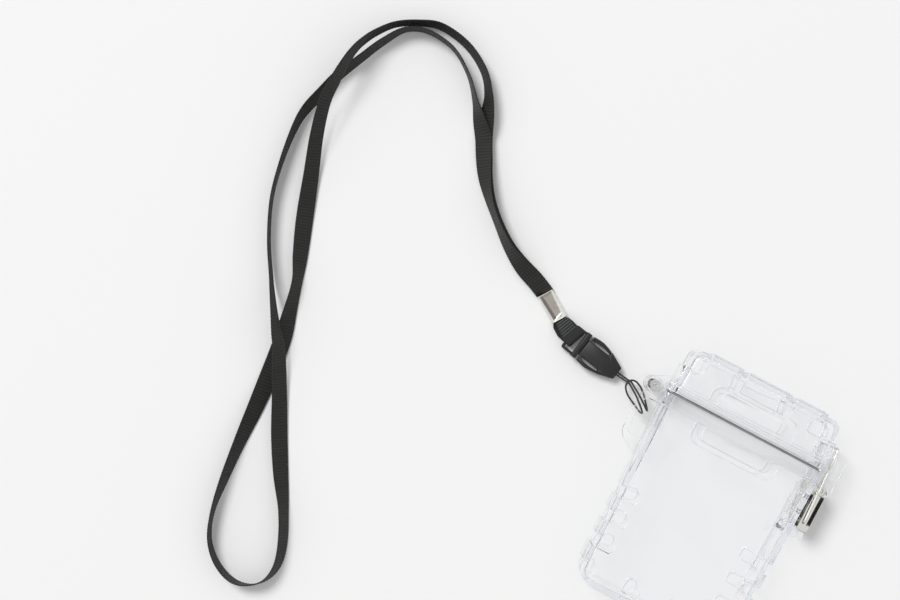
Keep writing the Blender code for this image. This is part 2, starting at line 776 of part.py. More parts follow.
def make_case_lid(material):
    """The hinged cap with its rim, pads, seal seat, knuckle, guards and catch."""
    lid = prism(
        "case_lid", lid_outline(), 0.0, CASE_THICKNESS,
        material=material, round_over=EDGE_ROUND, sharp_y=LID_FACE_Y,
    )
    cut(lid, lid_recesses())
    panel("lid_panel", lid, RIM_Y, 1)
    rim_line("lid_line", lid, RIM_Y, 1)
    catch_low = CROSSBAR_Y - WIRE_RADIUS - CATCH_LENGTH
    catch_half = WIRE_HALF - WIRE_RADIUS - 2 * GAP
    catch_x = CROSSBAR_X - WIRE_RADIUS - BAIL_CLEARANCE
    catch = prism(
        "lid_catch",
        [
            Vector((HALF_WIDTH - PAD_DEPTH, catch_low - CATCH_LENGTH / 2)),
            Vector((catch_x, catch_low)),
            Vector((catch_x, catch_low + CATCH_LENGTH)),
            Vector((HALF_WIDTH - PAD_DEPTH, catch_low + CATCH_LENGTH + ROOT)),
        ],
        MID_Z - catch_half, MID_Z + catch_half,
    )
    _, lid_ranges = hinge_ranges()
    guards = cheeks("lid_cheeks", LID_FACE_Y, CHEEK_LENGTH_LID)
    join(lid, knuckle("lid_knuckle", 1, lid_ranges), guards, catch)
    mouth_y = LID_FACE_Y - OVERSHOOT
    cavity = shell_outline(lid_half, mouth_y, TOP_Y, CAVITY_INSET, CAVITY_INSET, CAVITY_RADIUS)
    cut(lid, prism("lid_cavity", cavity, CAVITY_LOW_Z, CAVITY_HIGH_Z, round_over=CAVITY_ROUND))
    mouth = flat_frame(LIP_HALF + GAP, LIP_FACE_INSET - GAP, LIP_RADIUS + GAP)
    cut(lid, prism("lid_mouth", mouth, LID_FACE_Y - OVERSHOOT, BODY_FACE_Y + LIP_HEIGHT + GAP, axis="Y"))
    seat_grow = 2 * GAP + SEAL_WIDTH
    seat = flat_frame(LIP_HALF + GAP + seat_grow, LIP_FACE_INSET - GAP - seat_grow, LIP_RADIUS + seat_grow)
    seat_top = BODY_FACE_Y + GAP + SEAL_THICKNESS + GAP
    cut(lid, prism("seal_seat", seat, LID_FACE_Y - OVERSHOOT, seat_top, axis="Y"))
    bore = circle((HINGE_X, HINGE_Y), BORE_RADIUS)
    cut(lid, prism("lid_bore", bore, -OVERSHOOT, CASE_THICKNESS + OVERSHOOT))
    return lid


def make_seal(material):
    """The rubber ring round the body's lip."""
    low = BODY_FACE_Y + GAP
    grow = GAP + SEAL_WIDTH
    outer = flat_frame(LIP_HALF + grow, LIP_FACE_INSET - grow, LIP_RADIUS + grow)
    inner = flat_frame(LIP_HALF + GAP, LIP_FACE_INSET - GAP, LIP_RADIUS + GAP)
    ring = prism("seal_ring", outer, low, low + SEAL_THICKNESS, axis="Y", material=material)
    cut(ring, prism("seal_inside", inner, low - OVERSHOOT, low + OVERSHOOT, axis="Y"))
    return ring


def make_hinge_pin(material):
    """The rod through the knuckles."""
    end = GAP + CLIP_THICKNESS + PIN_PROUD
    outline = circle((HINGE_X, HINGE_Y), HINGE_PIN_RADIUS)
    return prism("hinge_pin", outline, BARREL_LOW_Z - end, BARREL_HIGH_Z + end, material=material)


def make_hinge_clip(name, low, material):
    """An open ring round one end of the hinge pin."""
    clip = prism(name, circle((HINGE_X, HINGE_Y), CLIP_RADIUS), low, low + CLIP_THICKNESS, material=material)
    hole = circle((HINGE_X, HINGE_Y), HINGE_PIN_RADIUS + GAP)
    cut(clip, prism(name + "_hole", hole, low - OVERSHOOT, low + OVERSHOOT))
    half = CLIP_MOUTH / 2
    mouth = box_outline((HINGE_X, HINGE_Y - half), (HINGE_X + 2 * CLIP_RADIUS, HINGE_Y + half))
    cut(clip, prism(name + "_mouth", mouth, low - OVERSHOOT, low + OVERSHOOT))
    return clip


def make_latch_base(material):
    """The riveted plate with the two ears that carry the lever's pin."""
    top = FULCRUM_Y + BASE_RISE
    ear_low = FULCRUM_Y - 2 * LEVER_HEAD_RADIUS
    ear_x = FULCRUM_X + LEVER_HEAD_RADIUS
    side = rounded(
        [
            (BASE_LOW_X, top - BASE_LENGTH),
            (BASE_HIGH_X, top - BASE_LENGTH),
            (BASE_HIGH_X, ear_low),
            (ear_x, FULCRUM_Y - LEVER_HEAD_RADIUS, LEVER_HEAD_RADIUS / 2),
            (ear_x, top, LEVER_HEAD_RADIUS / 2),
            (BASE_LOW_X, top),
        ]
    )
    base = prism("latch_base", side, MID_Z - BASE_HALF, MID_Z + BASE_HALF, material=material)
    between = box_outline((BASE_HIGH_X, ear_low - ROOT), (ear_x + OVERSHOOT, top + OVERSHOOT))
    inner = BASE_HALF - BASE_SHEET
    cut(base, prism("between_ears", between, MID_Z - inner, MID_Z + inner))
    bore = circle((FULCRUM_X, FULCRUM_Y), LEVER_PIN_RADIUS + GAP)
    cut(base, prism("ear_bore", bore, -OVERSHOOT, CASE_THICKNESS + OVERSHOOT))
    holes = []
    for drop in RIVET_DROPS:
        hole = circle((FULCRUM_Y - drop, MID_Z), RIVET_RADIUS + GAP)
        holes.append((hole, BASE_LOW_X - OVERSHOOT, BASE_HIGH_X + OVERSHOOT))
    cut(base, prisms("base_holes", holes, axis="X"))
    return base


def make_rivet(name, drop, material):
    """A rivet through the base into the body's wall."""
    centre = (FULCRUM_Y - drop, MID_Z)
    head_low = BASE_HIGH_X + GAP
    shank_low = HALF_WIDTH - RIVET_BITE
    rivet = prism(
        name, circle(centre, RIVET_HEAD_RADIUS), head_low, head_low + RIVET_HEAD,
        axis="X", material=material, round_over=RIVET_HEAD / 3,
    )
    shank = circle(centre, RIVET_RADIUS)
    join(rivet, prism(name + "_shank", shank, shank_low, head_low + RIVET_HEAD / 2, axis="X"))
    return rivet


def make_lever_pin(material):
    """The pin through the base's ears and the lever's sides."""
    outline = circle((FULCRUM_X, FULCRUM_Y), LEVER_PIN_RADIUS)
    return prism("lever_pin", outline, MID_Z - LEVER_HALF, MID_Z + LEVER_HALF, material=material)


def make_latch_lever(material):
    """The folded sheet handle: two sides, a back and an inturned end."""
    back = FULCRUM_X + LEVER_BACK
    inner = back - LEVER_DEPTH
    low = PIVOT_Y - (LEVER_LENGTH - BAIL_DROP)
    side = rounded(
        [
            (inner, low, LEVER_SHEET),
            (back, low, 2 * LEVER_SHEET),
            (back, FULCRUM_Y - LEVER_HEAD_DROP, ROOT / 2),
            (FULCRUM_X + LEVER_HEAD_RADIUS, FULCRUM_Y + LEVER_HEAD_RADIUS, LEVER_HEAD_RADIUS),
            (FULCRUM_X - LEVER_HEAD_RADIUS, FULCRUM_Y + LEVER_HEAD_RADIUS, LEVER_HEAD_RADIUS),
            (FULCRUM_X - LEVER_HEAD_RADIUS, FULCRUM_Y - LEVER_HEAD_RADIUS),
            (inner, FULCRUM_Y - 2 * LEVER_HEAD_RADIUS),
        ]
    )
    lever = prism("latch_lever", side, MID_Z - LEVER_HALF, MID_Z + LEVER_HALF, material=material)
    top = FULCRUM_Y + LEVER_HEAD_RADIUS + OVERSHOOT
    inside = box_outline((inner - OVERSHOOT, low + LEVER_SHEET), (back - LEVER_SHEET, top))
    half = LEVER_HALF - LEVER_SHEET
    cut(lever, prism("lever_inside", inside, MID_Z - half, MID_Z + half))
    bores = [
        (circle((FULCRUM_X, FULCRUM_Y), LEVER_PIN_RADIUS + GAP), -OVERSHOOT, CASE_THICKNESS + OVERSHOOT),
        (circle((PIVOT_X, PIVOT_Y), WIRE_RADIUS + GAP), -OVERSHOOT, CASE_THICKNESS + OVERSHOOT),
    ]
    cut(lever, prisms("lever_bores", bores))
    return lever


def tube(name, points, radius, material):
    """A round tube along points, with filled ends."""
    curve = bpy.data.curves.new(name, "CURVE")
    curve.dimensions = "3D"
    curve.twist_mode = "MINIMUM"
    curve.bevel_depth = radius
    curve.bevel_resolution = 2
    curve.use_fill_caps = True
    spline = curve.splines.new("POLY")
    spline.points.add(len(points) - 1)
    for index, point in enumerate(points):
        spline.points[index].co = (*point, 1.0)
    curve.materials.append(material)
    thing = bpy.data.objects.new(name, curve)
    bpy.context.scene.collection.objects.link(thing)
    return thing


def make_latch_bail(material):
    """The wire loop: two legs, a crossbar and two ends turned into the lever's sides."""
    legs = []
    tuck = LEVER_HALF - LEVER_SHEET - GAP
    for side in (1, -1):
        foot = Vector((PIVOT_X, PIVOT_Y, MID_Z + side * tuck))
        ankle = Vector((PIVOT_X, PIVOT_Y, MID_Z + side * WIRE_HALF))
        knee = Vector((CROSSBAR_X, CROSSBAR_Y, MID_Z + side * WIRE_HALF))
        legs.append([foot, ankle, knee])
    corners = legs[0] + list(reversed(legs[1]))
    bends = [0.0, FOOT_BEND, WIRE_BEND, WIRE_BEND, FOOT_BEND, 0.0]
    points = []
    for index, corner in enumerate(corners):
        if bends[index] == 0.0:
            points.append(corner)
            continue
        back = corner + (corners[index - 1] - corner).normalized() * bends[index]
        ahead = corner + (corners[index + 1] - corner).normalized() * bends[index]
        for step in range(ARC_STEPS + 1):
            share = step / ARC_STEPS
            points.append(back.lerp(corner, share).lerp(corner.lerp(ahead, share), share))
    return tube("latch_bail", points, WIRE_RADIUS, material)


def buckle_prisms(name, shapes, material=None, round_over=0.0):
    """Shapes in the buckle's own frame: x from the cord end back to the strap end, y across."""
    thing = prisms(name, shapes, material=material, round_over=round_over)
    turn = Matrix.Rotation(BUCKLE_TURN + math.pi, 4, "Z")
    move = Matrix.Translation((BUCKLE_TIP[0], BUCKLE_TIP[1], 0.0))
    thing.data.transform(move @ turn)
    return thing


def buckle_point(along, across):
    """A point of the buckle's frame, in the case's."""
    turned = Matrix.Rotation(BUCKLE_TURN + math.pi, 2) @ Vector((along, across))
    return Vector((BUCKLE_TIP[0] + turned.x, BUCKLE_TIP[1] + turned.y))


def make_buckle_socket(material):
    """The tapered half that carries the cord, with a slot for the plug's tongue."""
    root = SQUEEZE_ROOT - GAP
    half = [
        (0.0, TIP_HALF, ROOT / 2),
        (TAPER_LENGTH, SOCKET_WIDTH / 2),
        (root, SOCKET_WIDTH / 2),
        (root, SOCKET_HALF),
        (SOCKET_FACE, SOCKET_HALF),
    ]
    outline = rounded(half + [(x, -y, *rest) for x, y, *rest in reversed(half)])
    socket = buckle_prisms("buckle_socket", [(outline, 0.0, BUCKLE_THICKNESS)], material, ROOT / 2)
    middle = BUCKLE_THICKNESS / 2
    slot_half = TONGUE_HALF + GAP
    slot_rise = TONGUE_THICKNESS / 2 + GAP
    slot = box_outline((PLUG_FACE - TONGUE_LENGTH - GAP, -slot_half), (SOCKET_FACE + OVERSHOOT, slot_half))
    cut(socket, buckle_prisms("socket_slot", [(slot, middle - slot_rise, middle + slot_rise)]))
    hole = box_outline((-OVERSHOOT, -CORD_HOLE_HALF), (TAPER_LENGTH / 2, CORD_HOLE_HALF))
    hole_rise = CORD_HOLE_HALF / 2
    cut(socket, buckle_prisms("cord_hole", [(hole, middle - hole_rise, middle + hole_rise)]))
    return socket


def squeeze_pivot(side):
    """Where a squeeze lever bends, at its root."""
    return buckle_point(SQUEEZE_ROOT, side * (SOCKET_HALF + SLIT + SQUEEZE_ROOT_THICKNESS / 2))


def make_squeeze_lever(name, side, material):
    """A curved side spring: its root near the socket's shoulder, its thicker end free."""
    outer, inner = [], []
    for step in range(SQUEEZE_STEPS + 1):
        share = step / SQUEEZE_STEPS
        along = SQUEEZE_ROOT + SQUEEZE_LENGTH * share
        near = SOCKET_HALF + SLIT + SQUEEZE_BULGE * math.sin(math.pi * share)
        growth = SQUEEZE_END_THICKNESS - SQUEEZE_ROOT_THICKNESS
        thickness = SQUEEZE_ROOT_THICKNESS + growth * min(1.0, 2 * share)
        inner.append(Vector((along, side * near)))
        outer.append(Vector((along, side * (near + thickness))))
    rise = ROOT / 2
    return buckle_prisms(name, [(outer + inner[::-1], rise, BUCKLE_THICKNESS - rise)], material, ROOT / 4)


def make_buckle_plug(material):
    """The strap half: its bar, legs and shoulder, and the tongue in the socket."""
    middle = BUCKLE_THICKNESS / 2
    wide = SHOULDER_WIDTH / 2
    shoulder = box_outline((PLUG_FACE, -wide), (PLUG_FACE + PLUG_SHOULDER, wide))
    plug = buckle_prisms("buckle_plug", [(shoulder, 0.0, BUCKLE_THICKNESS)], material, ROOT / 2)
    frame_start = PLUG_FACE + PLUG_SHOULDER / 2
    frame = rounded(
        [
            (frame_start, -PLUG_HALF),
            (PLUG_BACK, -PLUG_HALF, ROOT),
            (PLUG_BACK, PLUG_HALF, ROOT),
            (frame_start, PLUG_HALF),
        ]
    )
    frame_rise = PLUG_BAR / 2
    bars = buckle_prisms("plug_frame", [(frame, middle - frame_rise, middle + frame_rise)])
    inside = PLUG_HALF - PLUG_LEG
    window = box_outline((PLUG_FACE + PLUG_SHOULDER, -inside), (PLUG_BACK - PLUG_BAR, inside))
    cut(bars, buckle_prisms("plug_window", [(window, -OVERSHOOT, BUCKLE_THICKNESS + OVERSHOOT)]))
    blade = box_outline((PLUG_FACE - TONGUE_LENGTH, -TONGUE_HALF), (PLUG_FACE + ROOT, TONGUE_HALF))
    tongue_rise = TONGUE_THICKNESS / 2
    join(plug, bars, buckle_prisms("plug_tongue", [(blade, middle - tongue_rise, middle + tongue_rise)]))
    return plug


def crimp_frame():
    """The crimp's place and direction: x from the ribbon's end to the tab's, y across."""
    middle = BUCKLE_THICKNESS / 2
    return Matrix.Translation((CRIMP_TOP[0], CRIMP_TOP[1], middle)) @ Matrix.Rotation(CRIMP_TURN, 4, "Z")


def crimp_outline(inset):
    """The crimp across its length: a flat oval, less an inset."""
    wide = CRIMP_WIDTH / 2 - inset
    thick = CRIMP_THICKNESS / 2 - inset
    turn = (CRIMP_THICKNESS - CRIMP_WALL) / 2 - inset
    return rounded([(wide, thick, turn), (-wide, thick, turn), (-wide, -thick, turn), (wide, -thick, turn)])


def make_crimp(material):
    """The flattened metal sleeve that grips both strands and the tab."""
    outer = crimp_outline(0.0)
    inner = crimp_outline(CRIMP_WALL)
    crimp = prism(
        "crimp_sleeve", outer, 0.0, CRIMP_LENGTH,
        axis="X", material=material, round_over=CRIMP_WALL / 3,
    )
    cut(crimp, prism("crimp_inside", inner, -OVERSHOOT, CRIMP_LENGTH + OVERSHOOT, axis="X"))
    for thing in (crimp, bpy.data.objects["crimp_inside"]):
        thing.data.transform(crimp_frame())
    return crimp


def make_strap_tab(material):
    """The stitched fold of webbing from the crimp to the buckle's bar, and round the bar."""
    middle = BUCKLE_THICKNESS / 2
    start = crimp_frame() @ Vector((GAP, 0.0, 0.0))
    mouth = crimp_frame() @ Vector((CRIMP_LENGTH + GAP, 0.0, 0.0))
    bar = buckle_point(PLUG_BACK - PLUG_BAR / 2, 0.0)
    bend = buckle_point(PLUG_BACK - PLUG_BAR / 2 + TAB_RADIUS + TAB_SINK, 0.0)
    across_bar = (buckle_point(PLUG_BACK, PLUG_HALF) - buckle_point(PLUG_BACK, 0.0)).normalized()
    across_crimp = (crimp_frame().to_3x3() @ Vector((0.0, 1.0, 0.0))).xy.normalized()
    if across_crimp.dot(across_bar) < 0:
        across_bar = -across_bar
    neck_half = CRIMP_WIDTH / 2 - CRIMP_WALL - GAP - ROOT / 2
    full_half = WEBBING_WIDTH / 2
    rise = TAB_THICKNESS / 2
    rows = [(start.xy, across_crimp, neck_half), (mouth.xy, across_crimp, neck_half)]
    for share in TAB_WIDE:
        across = across_crimp.lerp(across_bar, share).normalized()
        rows.append((mouth.xy.lerp(bend, share), across, full_half))
    rows.append((bend, across_bar, full_half - TAB_EASE))
    bm = bmesh.new()
    rings = []
    for centre, across, half in rows:
        ring = []
        for a, b in ((1, 1), (-1, 1), (-1, -1), (1, -1)):
            point = centre + across * half * a
            ring.append(bm.verts.new((point.x, point.y, middle + b * rise)))
        rings.append(ring)
    for first, second in zip(rings, rings[1:]):
        for index in range(4):
            after = (index + 1) % 4
            bm.faces.new((first[index], first[after], second[after], second[index]))
    bm.faces.new(rings[0])
    bm.faces.new(rings[-1])
    tab = finish_mesh("strap_tab", bm, material)
    loop_radius = TAB_RADIUS + WEBBING_THICKNESS
    loop_body = prism("tab_loop", circle((0.0, middle), loop_radius), -full_half, full_half, axis="Y")
    hole = circle((0.0, middle), TAB_RADIUS + GAP / 2)
    loop_hole = prism("tab_hole", hole, -full_half - OVERSHOOT, full_half + OVERSHOOT, axis="Y")
    turn = Matrix.Translation((bar.x, bar.y, 0.0)) @ Matrix.Rotation(BUCKLE_TURN, 4, "Z")
    for thing in (loop_body, loop_hole):
        thing.data.transform(turn)
    join(tab, loop_body)
    cut(tab, loop_hole)
    return tab


def smooth(points, stride):
    """Points read at even steps, about a stride long, from a smooth curve through a route's own points."""
    dense = []
    last = len(points) - 1
    for index in range(last):
        p0 = Vector(points[max(index - 1, 0)])
        p1 = Vector(points[index])
        p2 = Vector(points[index + 1])
        p3 = Vector(points[min(index + 2, last)])
        for step in range(CURVE_STEPS):
            t = step / CURVE_STEPS
            dense.append(
                0.5 * ((2 * p1) + (p2 - p0) * t + (2 * p0 - 5 * p1 + 4 * p2 - p3) * t * t
                       + (3 * p1 - p0 - 3 * p2 + p3) * t ** 3)
            )
    dense.append(Vector(points[last]))
    lengths = [0.0]
    for before, after in zip(dense, dense[1:]):
        lengths.append(lengths[-1] + (after.to_3d() - before.to_3d()).length)
    count = round(lengths[-1] / stride)
    read = []
    index = 0
    for step in range(count + 1):
        goal = lengths[-1] * step / count
        while index < len(dense) - 2 and lengths[index + 1] < goal:
            index += 1
        span = lengths[index + 1] - lengths[index]
        share = 0.0 if span == 0.0 else (goal - lengths[index]) / span
        read.append(dense[index].lerp(dense[index + 1], min(1.0, share)))
    return read


def resting_height(lean):
    """How high a leaning ribbon's middle is above the table that its lower edge rests on."""
    upright = math.cos(math.radians(lean))
    flat = abs(math.sin(math.radians(lean)))
    return WEBBING_WIDTH / 2 * upright + WEBBING_THICKNESS / 2 * flat + GAP


def shared_strand(side):
    """One of the two strands side by side: side -1 leaves the crimp, side 1 comes back to it."""
    route = []
    shift = side * STRAND_SPACING / 2
    for index, (x, y, lean) in enumerate(SHARED_RUN):
        before = SHARED_RUN[max(index - 1, 0)]
        after = SHARED_RUN[min(index + 1, len(SHARED_RUN) - 1)]
        run = Vector((after[0] - before[0], after[1] - before[1])).normalized()
        aside = shift * math.cos(math.radians(lean))
        down = shift * math.sin(math.radians(lean))
        low = resting_height(lean) + abs(down)
        if index == 0:
            low = BUCKLE_THICKNESS / 2
        route.append((x * MM + run.y * aside, y * MM - run.x * aside, low - down, lean))
    return route


def ribbon_route():
    """The whole ribbon's route: x, y, z and lean, from the crimp round the loop and back."""
    loop = [(x * MM, y * MM, resting_height(lean) + lift * MM, lean) for x, y, lift, lean in LOOP_RUN]
    back = [(x, y, z, -lean) for x, y, z, lean in reversed(shared_strand(1))]
    return shared_strand(-1) + loop + back


def webbing_section():
    """The webbing's outline across its run: along its width, and out of its right side."""
    wide = WEBBING_WIDTH / 2
    thick = WEBBING_THICKNESS / 2
    ease = WEBBING_THICKNESS * SELVAGE_EASE
    right = [
        (wide, thick - ease),
        (wide - ease, thick),
        (0.0, thick),
        (ease - wide, thick),
        (-wide, thick - ease),
    ]
    return right + [(-along, -out) for along, out in right]


def make_neck_ribbon(material):
    """The woven ribbon, both ends in the crimp.

    Both sides of each stretch are halved along the same diagonal, which slopes the same way on both
    strands, so the band is as thick where it twists and the strands stay apart.
    """
    points = smooth([Vector(point) for point in ribbon_route()], RIBBON_STRIDE)
    section = webbing_section()
    bm = bmesh.new()
    rings = []
    for index, point in enumerate(points):
        before = points[max(index - 1, 0)].to_3d()
        after = points[min(index + 1, len(points) - 1)].to_3d()
        run = (after - before).normalized()
        right = run.cross(Vector((0.0, 0.0, 1.0))).normalized()
        up = right.cross(run)
        lean = math.radians(point[3])
        width_way = up * math.cos(lean) + right * math.sin(lean)
        out_way = right * math.cos(lean) - up * math.sin(lean)
        rings.append(
            [bm.verts.new(point.to_3d() + width_way * along + out_way * out) for along, out in section]
        )
    for first, second in zip(rings, rings[1:]):
        homeward = second[0].co.y < first[0].co.y
        for index in range(len(section)):
            low, high = index, (index + 1) % len(section)
            left_side = index >= len(section) // 2
            if left_side != homeward:
                low, high = high, low
            bm.faces.new((first[low], first[high], second[high]))
            bm.faces.new((first[low], second[high], second[low]))
    bm.faces.new(rings[0])
    bm.faces.new(rings[-1])
    return finish_mesh("neck_ribbon", bm, material)


def make_hitch_cord(material):
    """The thin cord, hitched round the eye, both ends in the buckle."""
    turn = Matrix.Rotation(HITCH_TURN, 2)

    def at(along, across, up):
        spot = turn @ Vector((along, across))
        return Vector(((HITCH_KNOT[0] + spot.x) * MM, (HITCH_KNOT[1] + spot.y) * MM, up * MM))

    ends = []
    for side in (1, -1):
        start = buckle_point(-GAP, -side * (CORD_RADIUS + GAP / 2))
        middle = BUCKLE_THICKNESS / 2
        tail = [Vector((start.x, start.y, middle))]
        half = [at(along, side * across, up) for along, across, up in HITCH_HALF]
        near = half[0]
        for share, lift in ((0.35, 0.2), (0.7, 0.9)):
            spot = tail[0].lerp(near, share)
            tail.append(Vector((spot.x, spot.y, middle + lift * MM)))
        ends.append(tail + half)
    route = ends[0] + [at(*HITCH_BIGHT)] + ends[1][::-1]
    return tube("hitch_cord", smooth(route, CORD_STRIDE), CORD_RADIUS, material)


def build():
    """Makes every piece and hangs the moving ones from their joints' axes."""
    clear_objects()
    finish = make_materials()
    clear = finish["clear_plastic"]
    steel = finish["latch_steel"]
    black = finish["buckle_plastic"]

    make_case_body(clear)
    lid = make_case_lid(clear)
    make_seal(finish["seal_rubber"])
    make_hinge_pin(finish["pin_steel"])
    make_hinge_clip("hinge_clip_front", BARREL_HIGH_Z + GAP, steel)
    make_hinge_clip("hinge_clip_back", BARREL_LOW_Z - GAP - CLIP_THICKNESS, steel)
    make_latch_base(steel)
    for name, drop in zip(("latch_rivet_upper", "latch_rivet_lower"), RIVET_DROPS):
        make_rivet(name, drop, steel)
    make_lever_pin(steel)
    lever = make_latch_lever(steel)
    bail = make_latch_bail(steel)
    make_buckle_socket(black)
    squeeze = {side: make_squeeze_lever(name, side, black)
               for name, side in (("squeeze_lever_left", -1), ("squeeze_lever_right", 1))}
    plug = make_buckle_plug(black)
    tab = make_strap_tab(finish["webbing"])
    crimp = make_crimp(steel)
    ribbon = make_neck_ribbon(finish["webbing"])
    make_hitch_cord(finish["cord"])

    place(lid, pivot("lid_axis", (HINGE_X, HINGE_Y, MID_Z)))
    lever_axis = pivot("lever_axis", (FULCRUM_X, FULCRUM_Y, MID_Z))
    bail_axis = pivot("bail_axis", (PIVOT_X, PIVOT_Y, MID_Z))
    place(bail_axis, lever_axis)
    place(lever, lever_axis)
    place(bail, bail_axis)
    for side, spring in squeeze.items():
        spot = squeeze_pivot(side)
        place(spring, pivot(f"squeeze_axis_{side:+d}", (spot.x, spot.y, BUCKLE_THICKNESS / 2)))
    spot = buckle_point(PLUG_FACE, 0.0)
    release = pivot("release_axis", (spot.x, spot.y, BUCKLE_THICKNESS / 2), BUCKLE_TURN)
    for piece in (plug, tab, crimp, ribbon):
        place(piece, release)


build()
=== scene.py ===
"""Looks of a clear hinged photocard case on a neck lanyard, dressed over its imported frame.

Everything is in metres and in the frame of the CAD: +X is the latch side, +Y the lid end and +Z
the front face. The case lies on its back on the floor, and the lanyard lies on the floor beside it.
"""

import json
import logging
import math
from dataclasses import dataclass
from enum import Enum
from typing import Sequence

import bmesh
import bpy
from mathutils import Matrix, Vector


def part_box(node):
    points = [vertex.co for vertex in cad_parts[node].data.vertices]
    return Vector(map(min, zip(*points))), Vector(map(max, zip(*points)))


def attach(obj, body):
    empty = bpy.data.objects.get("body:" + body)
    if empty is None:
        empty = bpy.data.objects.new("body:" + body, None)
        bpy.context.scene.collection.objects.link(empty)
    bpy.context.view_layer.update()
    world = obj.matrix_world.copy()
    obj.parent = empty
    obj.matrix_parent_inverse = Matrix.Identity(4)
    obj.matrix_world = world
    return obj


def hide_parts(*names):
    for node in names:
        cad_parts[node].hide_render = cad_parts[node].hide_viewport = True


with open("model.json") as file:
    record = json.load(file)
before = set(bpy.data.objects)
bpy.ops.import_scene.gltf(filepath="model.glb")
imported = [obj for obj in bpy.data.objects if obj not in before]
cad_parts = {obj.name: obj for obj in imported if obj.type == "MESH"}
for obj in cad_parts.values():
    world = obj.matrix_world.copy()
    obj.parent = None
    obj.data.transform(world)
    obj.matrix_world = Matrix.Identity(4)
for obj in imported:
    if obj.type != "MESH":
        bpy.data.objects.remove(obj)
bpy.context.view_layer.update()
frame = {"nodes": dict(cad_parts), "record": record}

MM = 0.001
GAP = 0.3 * MM
LOG = logging.getLogger("photocard_case")

Pair = tuple[float, float]
Triple = tuple[float, float, float]
Colour = Triple
Socket = bpy.types.NodeSocket
Inputs = dict[str | int, object]
Piece = bpy.types.Object
Edges = tuple[list[Vector], list[Vector]]


class Slot(Enum):
    """Names of the record's material slots. Softened pieces are handed one, which nothing reads."""

    CLEAR = "clear_plastic"
    RUBBER = "seal_rubber"
    STEEL = "latch_steel"
    BUCKLE = "buckle_plastic"
    WEBBING = "webbing"
    CORD = "cord"


class Nodes:
    """A node tree, with short ways to add and join its nodes."""

    def __init__(self, tree: bpy.types.NodeTree) -> None:
        """Takes the tree."""
        self.nodes, self.links = tree.nodes, tree.links

    def node(self, kind: str, inputs: Inputs | None = None, **settings: object) -> bpy.types.Node:
        """Adds a node.

        Args:
            kind: The node's Blender type.
            inputs: Plain values, or sockets to join, by the input's name or number.
            **settings: The node's own settings.

        Returns:
            The new node.
        """
        node = self.nodes.new(kind)
        for key, value in settings.items():
            setattr(node, key, value)
        for key, value in (inputs or {}).items():
            self.put(node.inputs[key], value)
        return node

    def add(self, kind: str, inputs: Inputs | None = None, **settings: object) -> Socket:
        """Adds a node and gives its first output."""
        return self.node(kind, inputs, **settings).outputs[0]

    def put(self, target: Socket, value: object) -> None:
        """Joins a socket to an input, or writes a plain value on it.

        Args:
            target: The input.
            value: The socket or the plain value.
        """
        if isinstance(value, bpy.types.NodeSocket):
            self.links.new(value, target)
        else:
            target.default_value = value

    def sums(self, operation: str, *values: object) -> Socket:
        """One sum on plain numbers and sockets."""
        return self.add("ShaderNodeMath", dict(enumerate(values)), operation=operation)

    def spread(self, value: Socket, low: float, high: float) -> Socket:
        """A value from 0 to 1, spread over another range."""
        return self.add("ShaderNodeMapRange", {"Value": value, "To Min": low, "To Max": high})


class Shading(Nodes):
    """A material's node tree."""

    def __init__(self, name: str) -> None:
        """Starts a material that holds one Principled shader.

        Args:
            name: The material's name.
        """
        self.material = bpy.data.materials.new(name)
        self.material.use_nodes = True
        super().__init__(self.material.node_tree)
        self.surface = self.nodes["Principled BSDF"]
        self.output = self.nodes["Material Output"]

    def dress(self, **inputs: object) -> None:
        """Sets the shader's inputs, named with an underscore for each space."""
        for name, value in inputs.items():
            self.put(self.surface.inputs[name.replace("_", " ")], value)

    def place(self) -> Socket:
        """The Object coordinates."""
        return self.node("ShaderNodeTexCoord").outputs["Object"]

    def attribute(self, name: str) -> Socket:
        """A number that the mesh carries."""
        return self.node("ShaderNodeAttribute", attribute_name=name).outputs["Fac"]

    def noise(self, scale: float, detail: float = 3.0, at: Socket | None = None) -> Socket:
        """Noise at a scale in lumps per metre, on the Object coordinates or another place."""
        inputs = {"Vector": at or self.place(), "Scale": scale, "Detail": detail}
        return self.add("ShaderNodeTexNoise", inputs)

    def stretched(self, scale: Triple) -> Socket:
        """The Object coordinates, scaled apart along each axis."""
        return self.add("ShaderNodeMapping", {"Vector": self.place(), "Scale": scale})

    def blend(self, share: Socket, first: Colour, second: Colour) -> Socket:
        """Mixes two colours.

        Args:
            share: How much of the second colour there is.
            first: The colour at 0.
            second: The colour at 1.

        Returns:
            The mixed colour.
        """
        ramp = self.node("ShaderNodeValToRGB", {0: share})
        for element, colour in zip(ramp.color_ramp.elements, (first, second)):
            element.color = (*colour, 1.0)
        return ramp.outputs["Color"]

    def bump(self, height: Socket, depth: float) -> None:
        """Gives the shader a relief of that depth in metres."""
        inputs = {"Height": height, "Distance": depth, "Strength": 1.0}
        self.dress(Normal=self.add("ShaderNodeBump", inputs))


@dataclass(frozen=True)
class Finish:
    """A finish whose material is made once, when a piece first asks for it."""

    name: str

    def material(self) -> bpy.types.Material:
        """Finds the finish's material, or makes it.

        Returns:
            The material.
        """
        made = bpy.data.materials.get(self.name)
        if made is None:
            tree = Shading(self.name)
            self.dress(tree)
            made = tree.material
        return made

    def dress(self, tree: Shading) -> None:
        """Fills the material's tree."""
        raise NotImplementedError


